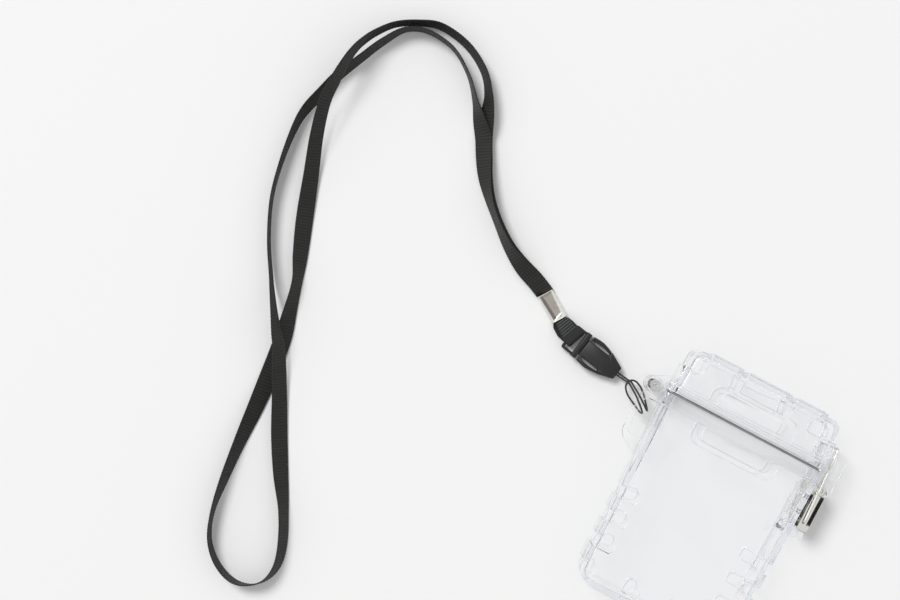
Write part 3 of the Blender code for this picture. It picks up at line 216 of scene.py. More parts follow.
@dataclass(frozen=True)
class ClearPlastic(Finish):
    """Clear moulded plastic: glossy, faintly blue, with soft flow marks and fine rubbing marks.

    Where a highlight share is given, a white diffuse is mixed in: a painted highlight, made patchy by
    noise.
    Rubbing, flow and those patches are noise, given by their lumps per metre and their detail.
    """

    name: str = "clear_moulded_plastic"
    tint: Colour = (1.0, 1.0, 1.0)
    body_tint: Colour = (0.17, 0.26, 0.50)
    density: float = 5.5
    index: float = 1.49
    rubbing: Pair = (900.0, 5.0)
    rubbed: float = 0.05
    flow: Pair = (60.0, 1.0)
    flow_relief: float = 0.04 * MM
    # Share of white diffuse mixed in: a painted highlight, with its colour and its patches below.
    painted_highlight: float = 0.0
    painted_highlight_colour: Colour = (0.96, 0.97, 0.99)
    highlight_patches: Pair = (260.0, 3.0)
    highlight_unevenness: float = 0.4

    def dress(self, tree: Shading) -> None:
        """Bends light for the eye and lets the lamps' light through to the floor.

        Args:
            tree: The tree to fill.
        """
        tree.dress(Base_Color=(*self.tint, 1.0), Transmission_Weight=1.0, IOR=self.index)
        tree.dress(Roughness=tree.spread(tree.noise(*self.rubbing), 0.0, self.rubbed))
        tree.bump(tree.noise(*self.flow), self.flow_relief)
        through = tree.add("ShaderNodeBsdfTransparent", {0: (1.0, 1.0, 1.0, 1.0)})
        light = tree.node("ShaderNodeLightPath").outputs
        share = tree.sums("MAXIMUM", light["Is Shadow Ray"], light["Is Diffuse Ray"])
        seen = tree.surface.outputs[0]
        # A white diffuse share, uneven by noise, paints highlights on the surface.
        if self.painted_highlight:
            scatter = tree.add("ShaderNodeBsdfDiffuse", {"Color": (*self.painted_highlight_colour, 1.0)})
            thin, thick = (1.0 - self.highlight_unevenness) * self.painted_highlight, (1.0 + self.highlight_unevenness) * self.painted_highlight
            highlight_share = tree.spread(tree.noise(*self.highlight_patches), thin, thick)
            seen = tree.add("ShaderNodeMixShader", {0: highlight_share, 1: seen, 2: scatter})
        mixed = tree.add("ShaderNodeMixShader", {0: share, 1: seen, 2: through})
        tree.put(tree.output.inputs["Surface"], mixed)
        inside = {"Color": (*self.body_tint, 1.0), "Density": self.density}
        tree.put(tree.output.inputs["Volume"], tree.add("ShaderNodeVolumeAbsorption", inside))


@dataclass(frozen=True)
class Steel(Finish):
    """Rolled steel with fine drawing marks along one axis."""

    name: str = "polished_steel"
    colour: Colour = (0.70, 0.69, 0.66)
    dull: Colour = (0.60, 0.59, 0.56)
    smooth: float = 0.08
    rough: float = 0.22
    marks: Triple = (900.0, 60.0, 900.0)
    stain: float = 160.0
    relief: float = 0.01 * MM

    def dress(self, tree: Shading) -> None:
        """Makes the drawn surface.

        Args:
            tree: The tree to fill.
        """
        drawn = tree.noise(1.0, 4.0, tree.stretched(self.marks))
        tree.dress(Base_Color=tree.blend(tree.noise(self.stain), self.dull, self.colour), Metallic=1.0)
        tree.dress(Roughness=tree.spread(drawn, self.smooth, self.rough))
        tree.bump(drawn, self.relief)


@dataclass(frozen=True)
class TurnedSteel(Finish):
    """The end of a turned pin: bright round its edge and stained brown towards its middle."""

    name: str = "turned_pin_steel"
    axis: Pair = (0.0, 0.0)
    radius: float = 1.1 * MM
    bright: Colour = (0.66, 0.65, 0.63)
    stained: Colour = (0.30, 0.21, 0.15)
    patches: float = 900.0
    patchiness: float = 0.25
    cuts: float = 40.0
    rough: Pair = (0.18, 0.30)
    relief: float = 0.01 * MM

    def dress(self, tree: Shading) -> None:
        """Makes rings about the pin's axis.

        Args:
            tree: The tree to fill.
        """
        shift = (-self.axis[0], -self.axis[1], 0.0)
        inputs = {"Vector": tree.place(), "Location": shift, "Scale": (1.0, 1.0, 0.0)}
        centred = tree.add("ShaderNodeMapping", inputs)
        out = tree.node("ShaderNodeVectorMath", {0: centred}, operation="LENGTH").outputs["Value"]
        share = tree.sums("DIVIDE", out, self.radius)
        patches = tree.spread(tree.noise(self.patches), -self.patchiness, self.patchiness)
        uneven = tree.sums("ADD", share, patches)
        rings = tree.sums("SINE", tree.sums("MULTIPLY", share, self.cuts))
        tree.dress(Base_Color=tree.blend(uneven, self.stained, self.bright), Metallic=1.0)
        tree.dress(Roughness=tree.spread(rings, *self.rough))
        tree.bump(rings, self.relief)


@dataclass(frozen=True)
class PressedSteel(Finish):
    """Bright rolled sleeve, painted greyer where a tool has pressed it flat: a painted dark reflection.

    A darker colour paints shade along the dent's side wall and at its lip. The mesh carries pressed and
    shaded, the shares of these two painted tones.
    """

    name: str = "pressed_sleeve_steel"
    bright: Colour = (0.74, 0.735, 0.70)
    pressed: Colour = (0.52, 0.49, 0.44)
    shaded: Colour = (0.25, 0.215, 0.20)
    marks: Triple = (300.0, 300.0, 1400.0)
    patchiness: float = 0.12
    rough: Pair = (0.16, 0.30)
    waves: Pair = (500.0, 2.0)
    relief: float = 0.02 * MM

    def dress(self, tree: Shading) -> None:
        """Makes the rolled and the pressed surface.

        Args:
            tree: The tree to fill.
        """
        drawn = tree.noise(1.0, 3.0, tree.stretched(self.marks))
        patches = tree.spread(drawn, -self.patchiness, self.patchiness)
        share = tree.sums("ADD", tree.attribute("pressed"), patches)
        # The pressed facet's grey is a painted dark reflection, and the shaded colour is painted shade.
        colour = tree.blend(share, self.bright, self.pressed)
        inputs = {0: tree.attribute("shaded"), 6: colour, 7: (*self.shaded, 1.0)}
        colour = tree.node("ShaderNodeMix", inputs, data_type="RGBA").outputs[2]
        tree.dress(Base_Color=colour, Metallic=1.0, Roughness=tree.spread(drawn, *self.rough))
        tree.bump(tree.noise(*self.waves), self.relief)


@dataclass(frozen=True)
class Grained(Finish):
    """A mottled surface with a fine grain, both noise, by their lumps per metre and their detail."""

    dark: Colour
    light: Colour
    rough: Pair
    mottle: Pair
    grain: Pair
    relief: float
    gloss: float = 0.5
    sheen: float = 0.0

    def dress(self, tree: Shading) -> None:
        """Makes the mottled colour and the grain.

        Args:
            tree: The tree to fill.
        """
        mottle = tree.noise(*self.mottle)
        tree.dress(Base_Color=tree.blend(mottle, self.dark, self.light))
        tree.dress(Roughness=tree.spread(mottle, *self.rough))
        tree.dress(Specular_IOR_Level=self.gloss, Sheen_Weight=self.sheen)
        tree.bump(tree.noise(*self.grain), self.relief)


THREAD = Grained(
    "grey_sewing_thread", (0.06, 0.065, 0.07), (0.17, 0.18, 0.19), rough=(0.55, 0.75),
    mottle=(5200.0, 2.0), grain=(5200.0, 2.0), relief=0.04 * MM, sheen=0.2,
)
MOULDED = Grained(
    "black_moulded_plastic", (0.010, 0.010, 0.011), (0.020, 0.020, 0.022), rough=(0.30, 0.46),
    mottle=(240.0, 4.0), grain=(4200.0, 2.0), relief=0.02 * MM, gloss=0.3,
)
RUBBER = Grained(
    "black_seal_rubber", (0.012, 0.012, 0.013), (0.030, 0.030, 0.032), rough=(0.30, 0.50),
    mottle=(700.0, 4.0), grain=(3000.0, 2.0), relief=0.01 * MM, gloss=0.25,
)


@dataclass(frozen=True)
class Ribbed(Finish):
    """Woven ribbon: polyester ribs across it, with single threads along it.

    The grooves between the ribs and the gaps between the threads are painted darker, as painted shade;
    each rib's own tone also differs at random.

    The mesh carries rib, counted along the ribbon, and across, from -1 to 1 over its width.
    """

    name: str = "black_ribbed_ribbon"
    # The first colour is painted shade in the grooves, the second the ribs' own colour.
    groove_shade: Colour = (0.008, 0.008, 0.0075)
    crest: Colour = (0.026, 0.026, 0.024)
    threads: float = 46.0
    slant: float = 1.1
    darkest_rib: float = 0.75
    thread_gap_shade: float = 0.7
    rough: Pair = (0.78, 0.55)
    relief: float = 0.03 * MM

    def dress(self, tree: Shading) -> None:
        """Makes the woven surface.

        Args:
            tree: The tree to fill.
        """
        rib, across = tree.attribute("rib"), tree.attribute("across")
        height = tree.sums("ABSOLUTE", tree.sums("SINE", tree.sums("MULTIPLY", rib, math.pi)))
        turn = tree.sums("MULTIPLY", across, self.threads * math.pi)
        turn = tree.sums("ADD", turn, tree.sums("MULTIPLY", rib, self.slant))
        thread = tree.sums("ABSOLUTE", tree.sums("SINE", turn))
        each = tree.add("ShaderNodeTexWhiteNoise", {"W": tree.sums("FLOOR", rib)}, noise_dimensions="1D")
        # Painted shade darkens the grooves between ribs and the gaps between threads; each rib's tone
        # differs at random.
        tone_and_shade = tree.sums("MULTIPLY", height, tree.spread(each, self.darkest_rib, 1.0))
        tone_and_shade = tree.sums("MULTIPLY", tone_and_shade, tree.spread(thread, self.thread_gap_shade, 1.0))
        tree.dress(Base_Color=tree.blend(tone_and_shade, self.groove_shade, self.crest))
        tree.dress(Roughness=tree.spread(thread, *self.rough))
        tree.dress(Specular_IOR_Level=0.25, Sheen_Weight=0.08, Sheen_Roughness=0.4)
        tree.bump(thread, self.relief)


@dataclass(frozen=True)
class Braid(Finish):
    """Thin braided cord. The mesh carries run, in turns of the braid, and around, from 0 to 1."""

    name: str = "black_braided_cord"
    # The dark colour is painted shade in the gaps between strands; the light one is the strands' own
    # colour.
    dark: Colour = (0.006, 0.006, 0.006)
    light: Colour = (0.035, 0.035, 0.034)
    strands: float = 4.0
    relief: float = 0.08 * MM

    def dress(self, tree: Shading) -> None:
        """Makes two crossed sets of strands, painted darker in the gaps between them: painted shade.

        Args:
            tree: The tree to fill.
        """
        run = tree.sums("MULTIPLY", tree.attribute("run"), math.tau)
        around = tree.sums("MULTIPLY", tree.attribute("around"), self.strands * math.tau)
        first = tree.sums("SINE", tree.sums("ADD", run, around))
        second = tree.sums("SINE", tree.sums("SUBTRACT", run, around))
        # Painted shade: the gaps between the strands are darker.
        weave = tree.spread(tree.sums("MAXIMUM", first, second), 0.0, 1.0)
        tree.dress(Base_Color=tree.blend(weave, self.dark, self.light), Roughness=0.62, Sheen_Weight=0.2)
        tree.bump(weave, self.relief)


@dataclass(frozen=True)
class Paper(Finish):
    """The pale seamless sheet that everything lies on."""

    name: str = "pale_sheet"
    colour: Colour = (0.905, 0.905, 0.905)

    def dress(self, tree: Shading) -> None:
        """Makes the matt sheet."""
        tree.dress(Base_Color=(*self.colour, 1.0), Roughness=0.9, Specular_IOR_Level=0.1)


class GeometryTree(Nodes):
    """A geometry node tree with named inputs for its sizes."""

    def __init__(self, name: str) -> None:
        """Starts an empty tree.

        Args:
            name: The tree's name.
        """
        self.group = bpy.data.node_groups.new(name, "GeometryNodeTree")
        super().__init__(self.group)
        for way in ("INPUT", "OUTPUT"):
            self.group.interface.new_socket("Geometry", in_out=way, socket_type="NodeSocketGeometry")
        self.entry = self.nodes.new("NodeGroupInput")
        self.exit = self.nodes.new("NodeGroupOutput")
        self.values: dict[str, object] = {}

    def size(self, name: str, value: float | int | bpy.types.Material) -> Socket:
        """Adds a named input.

        Args:
            name: The input's name.
            value: What the modifier sets on it.

        Returns:
            The socket that gives it inside the tree.
        """
        kind = {int: "Int", float: "Float"}.get(type(value), "Material")
        self.group.interface.new_socket(name, in_out="INPUT", socket_type=f"NodeSocket{kind}")
        self.values[name] = value
        return self.entry.outputs[name]

    def store(self, geometry: Socket, name: str, value: Socket) -> Socket:
        """Keeps a number on each point under a name."""
        inputs = {"Geometry": geometry, "Name": name, "Value": value}
        return self.add("GeometryNodeStoreNamedAttribute", inputs, data_type="FLOAT", domain="POINT")

    def read(self, name: str, kind: str = "FLOAT") -> Socket:
        """A number or a direction kept under a name."""
        return self.add("GeometryNodeInputNamedAttribute", {"Name": name}, data_type=kind)

    def chance(self, low: Socket, high: Socket, seed: int) -> Socket:
        """A random number for each point, the same in each run."""
        inputs = {"Seed": seed, 2: low, 3: high}
        return self.node("FunctionNodeRandomValue", inputs, data_type="FLOAT").outputs[1]

    def sweep(self, line: Socket, ring: Socket) -> Socket:
        """Sweeps a ring along a line.

        Args:
            line: The curve to follow.
            ring: The section.

        Returns:
            A closed and smooth band.
        """
        inputs = {"Curve": line, "Profile Curve": ring, "Fill Caps": True}
        band = self.add("GeometryNodeCurveToMesh", inputs)
        return self.add("GeometryNodeSetShadeSmooth", {"Geometry": band, "Shade Smooth": True})

    def end(self, geometry: Socket, finish: Finish) -> None:
        """Ends the tree: plain geometry in one finish.

        Args:
            geometry: What the tree has made.
            finish: The finish for all of it.
        """
        real = self.add("GeometryNodeRealizeInstances", {"Geometry": geometry})
        inputs = {"Geometry": real, "Material": self.size("Finish", finish.material())}
        self.put(self.exit.inputs[0], self.add("GeometryNodeSetMaterial", inputs))

    def bake(self, carrier: Piece, name: str) -> Piece:
        """Runs the tree on an object and keeps the result as a plain mesh.

        Args:
            carrier: The object that the tree reads. It is removed.
            name: The new piece's name.

        Returns:
            The new piece.
        """
        modifier = carrier.modifiers.new("shape", "NODES")
        modifier.node_group = self.group
        for item in self.group.interface.items_tree:
            if item.in_out == "INPUT" and item.name in self.values:
                modifier[item.identifier] = self.values[item.name]
        bpy.context.view_layer.update()
        graph = bpy.context.evaluated_depsgraph_get()
        mesh = bpy.data.meshes.new_from_object(
            carrier.evaluated_get(graph), preserve_all_data_layers=True, depsgraph=graph
        )
        carrier.modifiers.remove(modifier)
        bpy.data.objects.remove(carrier, do_unlink=True)
        return shown(name, mesh)


def shown(name: str, data: bpy.types.ID) -> Piece:
    """Puts a mesh, a lamp or a camera in the scene at the origin.

    Args:
        name: The new object's name.
        data: What it shows.

    Returns:
        The object.
    """
    data.name = name
    thing = bpy.data.objects.new(name, data)
    bpy.context.scene.collection.objects.link(thing)
    return thing


def settle(piece: Piece, node: str, replaces: bool = True) -> Piece:
    """Lets a piece ride on a CAD node's body, and stand for the node or go with it.

    Args:
        piece: The finished piece.
        node: The CAD node.
        replaces: Whether the piece stands for the node.

    Returns:
        The piece.
    """
    bodies = frame["record"]["behaviour"]["bodies"]
    body = next(name for name, members in bodies.items() if node in members)
    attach(piece, body)
    if replaces:
        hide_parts(node)
    return piece


def square(name: str, centre: Vector, half: float, material: bpy.types.Material) -> Piece:
    """Makes a level square without thickness.

    Args:
        name: Its name.
        centre: Where its middle is.
        half: Half its side.
        material: Its material.

    Returns:
        The square.
    """
    mesh = bpy.data.meshes.new(name)
    corners = ((-half, -half), (half, -half), (half, half), (-half, half))
    mesh.from_pydata([centre + Vector((x, y, 0.0)) for x, y in corners], [], [(0, 1, 2, 3)])
    mesh.materials.append(material)
    return shown(name, mesh)


def skin(bm: bmesh.types.BMesh, rings: Sequence[list[bmesh.types.BMVert]], turned: bool = False) -> None:
    """Joins closed rings of points, each to the next, by four-sided faces.

    Args:
        bm: The mesh.
        rings: The rings, all with as many points.
        turned: Whether the faces look the other way.
    """
    for first, second in zip(rings, rings[1:]):
        for a, b, c, d in zip(first, first[1:] + first[:1], second[1:] + second[:1], second):
            bm.faces.new((a, d, c, b) if turned else (a, b, c, d))


def smooth_mesh(bm: bmesh.types.BMesh, name: str, finish: Finish) -> bpy.types.Mesh:
    """Makes a smooth mesh in one finish.

    Args:
        bm: The edited mesh, which is freed.
        name: The mesh's name.
        finish: Its finish.

    Returns:
        The mesh.
    """
    mesh = bpy.data.meshes.new(name)
    bm.to_mesh(mesh)
    bm.free()
    mesh.materials.append(finish.material())
    mesh.shade_smooth()
    return mesh


def placed(origin: Pair, turn: float, along: float, across: float, up: float) -> Vector:
    """A point of a turned frame on the floor, in the case's."""
    spot = Matrix.Rotation(turn, 2) @ Vector((along, across))
    return Vector((origin[0] + spot.x, origin[1] + spot.y, up))


def eased_share(share: float) -> float:
    """A share, kept from 0 to 1 and eased at both ends."""
    share = min(1.0, max(0.0, share))
    return share * share * (3.0 - 2.0 * share)


def wire(name: str, points: Sequence[Vector], leans: Sequence[float] | None = None) -> Piece:
    """Makes a line of edges.

    Args:
        name: Its name.
        points: The points that it joins.
        leans: A lean in radians for each point.

    Returns:
        The line.
    """
    mesh = bpy.data.meshes.new(name)
    mesh.from_pydata([tuple(point) for point in points], [(i, i + 1) for i in range(len(points) - 1)], [])
    if leans is not None:
        mesh.attributes.new("lean", "FLOAT", "POINT").data.foreach_set("value", list(leans))
    return shown(name, mesh)


def smooth(points: Sequence[Vector], stride: float, steps: int = 20) -> list[Vector]:
    """Points at even steps on a smooth curve through a route's own points.

    Args:
        points: The route, whose first three numbers are a place.
        stride: About how far apart the points are.
        steps: How many steps there are between two of the route's points while its length is measured.

    Returns:
        The new points, with as many numbers each as the route's.
    """
    dense = []
    last = len(points) - 1
    for index in range(last):
        p0, p1 = points[max(index - 1, 0)], points[index]
        p2, p3 = points[index + 1], points[min(index + 2, last)]
        for step in range(steps):
            t = step / steps
            dense.append(
                0.5 * ((2 * p1) + (p2 - p0) * t + (2 * p0 - 5 * p1 + 4 * p2 - p3) * t * t
                       + (3 * p1 - p0 - 3 * p2 + p3) * t ** 3)
            )
    dense.append(points[last])
    return paced(dense, round(run_length(dense) / stride))


def paced(points: Sequence[Vector], steps: int) -> list[Vector]:
    """Points at even steps along a line.

    Args:
        points: The line, whose first three numbers are a place.
        steps: How many steps there are.

    Returns:
        The new points, one more than the steps.
    """
    lengths = [0.0]
    for before, after in zip(points, points[1:]):
        lengths.append(lengths[-1] + (after.to_3d() - before.to_3d()).length)
    read, index = [], 0
    for step in range(steps + 1):
        goal = lengths[-1] * step / steps
        while index < len(points) - 2 and lengths[index + 1] < goal:
            index += 1
        span = lengths[index + 1] - lengths[index]
        share = 0.0 if span == 0.0 else (goal - lengths[index]) / span
        read.append(points[index].lerp(points[index + 1], min(1.0, share)))
    return read


def eased(points: Sequence[Vector], passes: int) -> list[Vector]:
    """Wears a line's corners round and keeps its ends.

    Args:
        points: The line.
        passes: How often it is done.

    Returns:
        The new line.
    """
    line = list(points)
    for _ in range(passes):
        inner = [(a + 2 * b + c) / 4 for a, b, c in zip(line, line[1:], line[2:])]
        line = [line[0], *inner, line[-1]]
    return line


def run_length(points: Sequence[Vector]) -> float:
    """The length of a line through points."""
    return sum((b.to_3d() - a.to_3d()).length for a, b in zip(points, points[1:]))


@dataclass
class Studio:
    """The camera, straight above, and a pale sheet in soft light."""

    camera_place: Triple = (-0.1655, 0.0285, 0.78105)
    camera_turn: float = math.radians(27.9)
    lens: float = 59.36
    sensor: float = 36.0
    clip: Pair = (0.01, 20.0)
    sheet_half: float = 2.5
    dome: float = 0.54
    key_power: float = 872.0
    key_size: float = 5.0
    key_place: Triple = (-7.00, 2.95, 9.36)
    key_aim: Triple = (-0.10, 0.0, 0.0)
    cards: tuple[tuple[str, Triple, float, float], ...] = (
        ("grey_card", (-0.06, 0.06, 0.85), 0.09, 0.42),
        ("black_card", (0.75, 0.0, 1.60), 0.20, 0.02),
    )

    def camera(self) -> None:
        """Places the camera as the photograph's stood."""
        data = bpy.data.cameras.new("camera")
        data.lens = self.lens
        data.sensor_width = self.sensor
        data.clip_start, data.clip_end = self.clip
        camera = shown("camera", data)
        camera.location = self.camera_place
        camera.rotation_euler = (0.0, 0.0, self.camera_turn)
        bpy.context.scene.camera = camera

    def sheet(self) -> None:
        """Lays the pale sheet."""
        square("pale_sheet", Vector((0.0, 0.0, 0.0)), self.sheet_half, Paper().material())

    def lights(self) -> None:
        """Hangs one large soft lamp at the upper left of the picture, under a white dome."""
        data = bpy.data.lights.new("key", "AREA")
        data.shape = "DISK"
        data.size = self.key_size
        data.energy = self.key_power
        lamp = shown("key", data)
        lamp.location = self.key_place
        aim = Vector(self.key_aim) - lamp.location
        lamp.rotation_euler = aim.to_track_quat("-Z", "Y").to_euler()

    def reflected_cards(self) -> None:
        """Hangs the dark cards that only polished metal and plastic mirror."""
        for name, place, half, level in self.cards:
            tree = Shading(name)
            glow = tree.add("ShaderNodeEmission", {"Color": (level, level, level, 1.0)})
            tree.put(tree.output.inputs["Surface"], glow)
            card = square(name, Vector(place), half, tree.material)
            for ray in ("camera", "diffuse", "transmission", "volume_scatter", "shadow"):
                setattr(card, f"visible_{ray}", False)

    def world(self) -> None:
        """Fills the dome: white where it is seen or mirrored, and darker where it lights."""
        world = bpy.data.worlds.new("dome")
        world.use_nodes = True
        bpy.context.scene.world = world
        tree = Nodes(world.node_tree)
        path = tree.node("ShaderNodeLightPath").outputs
        seen = path["Is Camera Ray"]
        for kind in ("Is Glossy Ray", "Is Transmission Ray"):
            seen = tree.sums("MAXIMUM", seen, path[kind])
        sky = tree.nodes["Background"].inputs
        tree.put(sky["Color"], (1.0, 1.0, 1.0, 1.0))
        tree.put(sky["Strength"], tree.spread(seen, self.dome, 1.0))

    def build(self) -> None:
        """Makes the studio."""
        self.camera()
        self.sheet()
        self.lights()
        self.reflected_cards()
        self.world()
        bpy.context.scene.view_settings.view_transform = "Standard"


@dataclass
class Crimp:
    """The flattened metal sleeve round the ribbon's ends and the strap, with its closing tool's dent.

    The dent's corners are given in millimetres, along and across the sleeve.
    """

    top: Pair = (-123.1 * MM, 54.9 * MM)
    turn: float = math.radians(-33.4)
    length: float = 15.6 * MM
    width: float = 8.6 * MM
    thickness: float = 5.0 * MM
    wall: float = 0.6 * MM
    corner: float = 2.2 * MM
    middle: float = 3.0 * MM
    dent: tuple[Pair, ...] = ((0.2, -3.7), (15.2, -3.05), (12.8, 2.45), (0.2, 3.4))
    dent_floor: float = 5.05 * MM
    dent_bow: float = 0.10 * MM
    dent_edge: float = 0.28 * MM
    dent_sharpness: float = 5.0 / MM
    # How fast the pressed facet's painted grey, a painted dark reflection, comes in.
    stain: float = 3.0
    # A strip beside the dent's side wall and the lip at the mouth get painted shade.
    strip: Pair = (-1.9 * MM, -0.9 * MM)
    strip_blur: float = 0.7 * MM
    lip: float = 2.3 * MM
    lip_half: float = 0.46
    lip_rise: float = 0.30 * MM
    lip_shade: float = 0.75
    lip_slope: float = 5.0
    least_lip: float = 0.1 * MM
    flare: float = 0.12 * MM
    flare_reach: float = 0.5 * MM
    corner_steps: int = 12
    around: int = 104
    along: int = 78
    sharp_from: float = math.radians(50.0)

    def oval(self, inset: float) -> list[Vector]:
        """Draws the sleeve's section before the tool comes down.

        Args:
            inset: How far it lies inside the outer skin.

        Returns:
            Points across and up from the sleeve's middle.
        """
        radius = self.corner - inset
        wide, high = self.width / 2 - inset - radius, self.thickness / 2 - inset - radius
        ring = []
        for quarter in range(4):
            mid = math.pi / 2 * (quarter + 0.5)
            for step in range(self.corner_steps + 1):
                angle = math.pi / 2 * (quarter + step / self.corner_steps)
                across = math.copysign(wide, math.cos(mid)) + radius * math.cos(angle)
                up = math.copysign(high, math.sin(mid)) + radius * math.sin(angle)
                ring.append(Vector((across, up, 0.0)))
        return paced([*ring, ring[0]], self.around)[:-1]

    def pressed(self, along: float, across: float) -> float:
        """Finds how far the tool has pressed a point.

        Args:
            along: How far it lies from the first mouth.
            across: How far it lies to the side.

        Returns:
            0 outside the dent and 1 on its floor.
        """
        corners = [Vector((x * MM, y * MM)) for x, y in self.dent]
        total = 0.0
        for start, end in zip(corners, corners[1:] + corners[:1]):
            edge = (end - start).normalized()
            beyond = (along - start.x) * edge.y - (across - start.y) * edge.x
            total += math.exp(min(beyond, self.width) * self.dent_sharpness)
        depth = -math.log(total) / self.dent_sharpness
        return eased_share(depth / self.dent_edge)

    def formed(self, along: float, spot: Vector, inset: float) -> tuple[Vector, float, float]:
        """Presses a point of a skin into its place.

        Args:
            along: How far it lies from the first mouth.
            spot: Where it lies in the section before the tool comes down.
            inset: How far its skin lies inside the outer one.

        Returns:
            The point, the share of the pressed facet's painted grey and the share of its painted shade.
        """
        flare = self.flare * math.exp(-min(along, self.length - along) / self.flare_reach)
        share = self.pressed(along, spot.x) if spot.y > 0.0 else 0.0
        floor = self.dent_floor - inset - self.dent_bow * math.cos(spot.x / self.width * math.pi)
        height = self.middle + spot.y + math.copysign(flare, spot.y)
        lip = self.lip * max(0.0, 1.0 - (spot.x / (self.lip_half * self.width)) ** 2)
        lifted = max(0.0, 1.0 - along / lip) if lip > self.least_lip else 0.0
        height += share * (min(height, floor + self.lip_rise * lifted) - height)
        start, end = self.strip
        side = start + (end - start) * along / self.length
        # Painted shade along the strip beside the dent's side wall and on the lip at the mouth.
        near = eased_share((side - spot.x) / self.strip_blur + 0.5)
        dark = share * max(near, self.lip_shade * min(1.0, self.lip_slope * lifted))
        place = placed(self.top, self.turn, along, spot.x * (1.0 + flare / self.width), height)
        return place, min(1.0, self.stain * share), dark

    def build(self) -> Piece:
        """Makes the sleeve: an outer and an inner skin, joined round both mouths.

        Returns:
            The piece.
        """
        bm = bmesh.new()
        # pressed carries the share of painted grey on the pressed facet, and shaded that of painted shade.
        stained, shaded = bm.verts.layers.float.new("pressed"), bm.verts.layers.float.new("shaded")
        skins = []
        for inset, order in ((0.0, 1), (self.wall, -1)):
            rings = []
            for step in range(self.along + 1):
                along = self.length * step / self.along
                ring = []
                for spot in self.oval(inset):
                    place, stain, dark = self.formed(along, spot, inset)
                    vertex = bm.verts.new(place)
                    vertex[stained] = stain
                    vertex[shaded] = dark
                    ring.append(vertex)
                rings.append(ring[::order])
            skins.append(rings)
            skin(bm, rings, turned=True)
        outer, inner = skins
        skin(bm, (outer[0], inner[0][::-1]))
        skin(bm, (outer[-1], inner[-1][::-1]), turned=True)
        mesh = smooth_mesh(bm, "pressed_crimp", PressedSteel())
        mesh.set_sharp_from_angle(angle=self.sharp_from)
        piece = settle(shown("pressed_crimp", mesh), "crimp_sleeve")
        LOG.info("crimp: %d faces", len(mesh.polygons))
        return piece


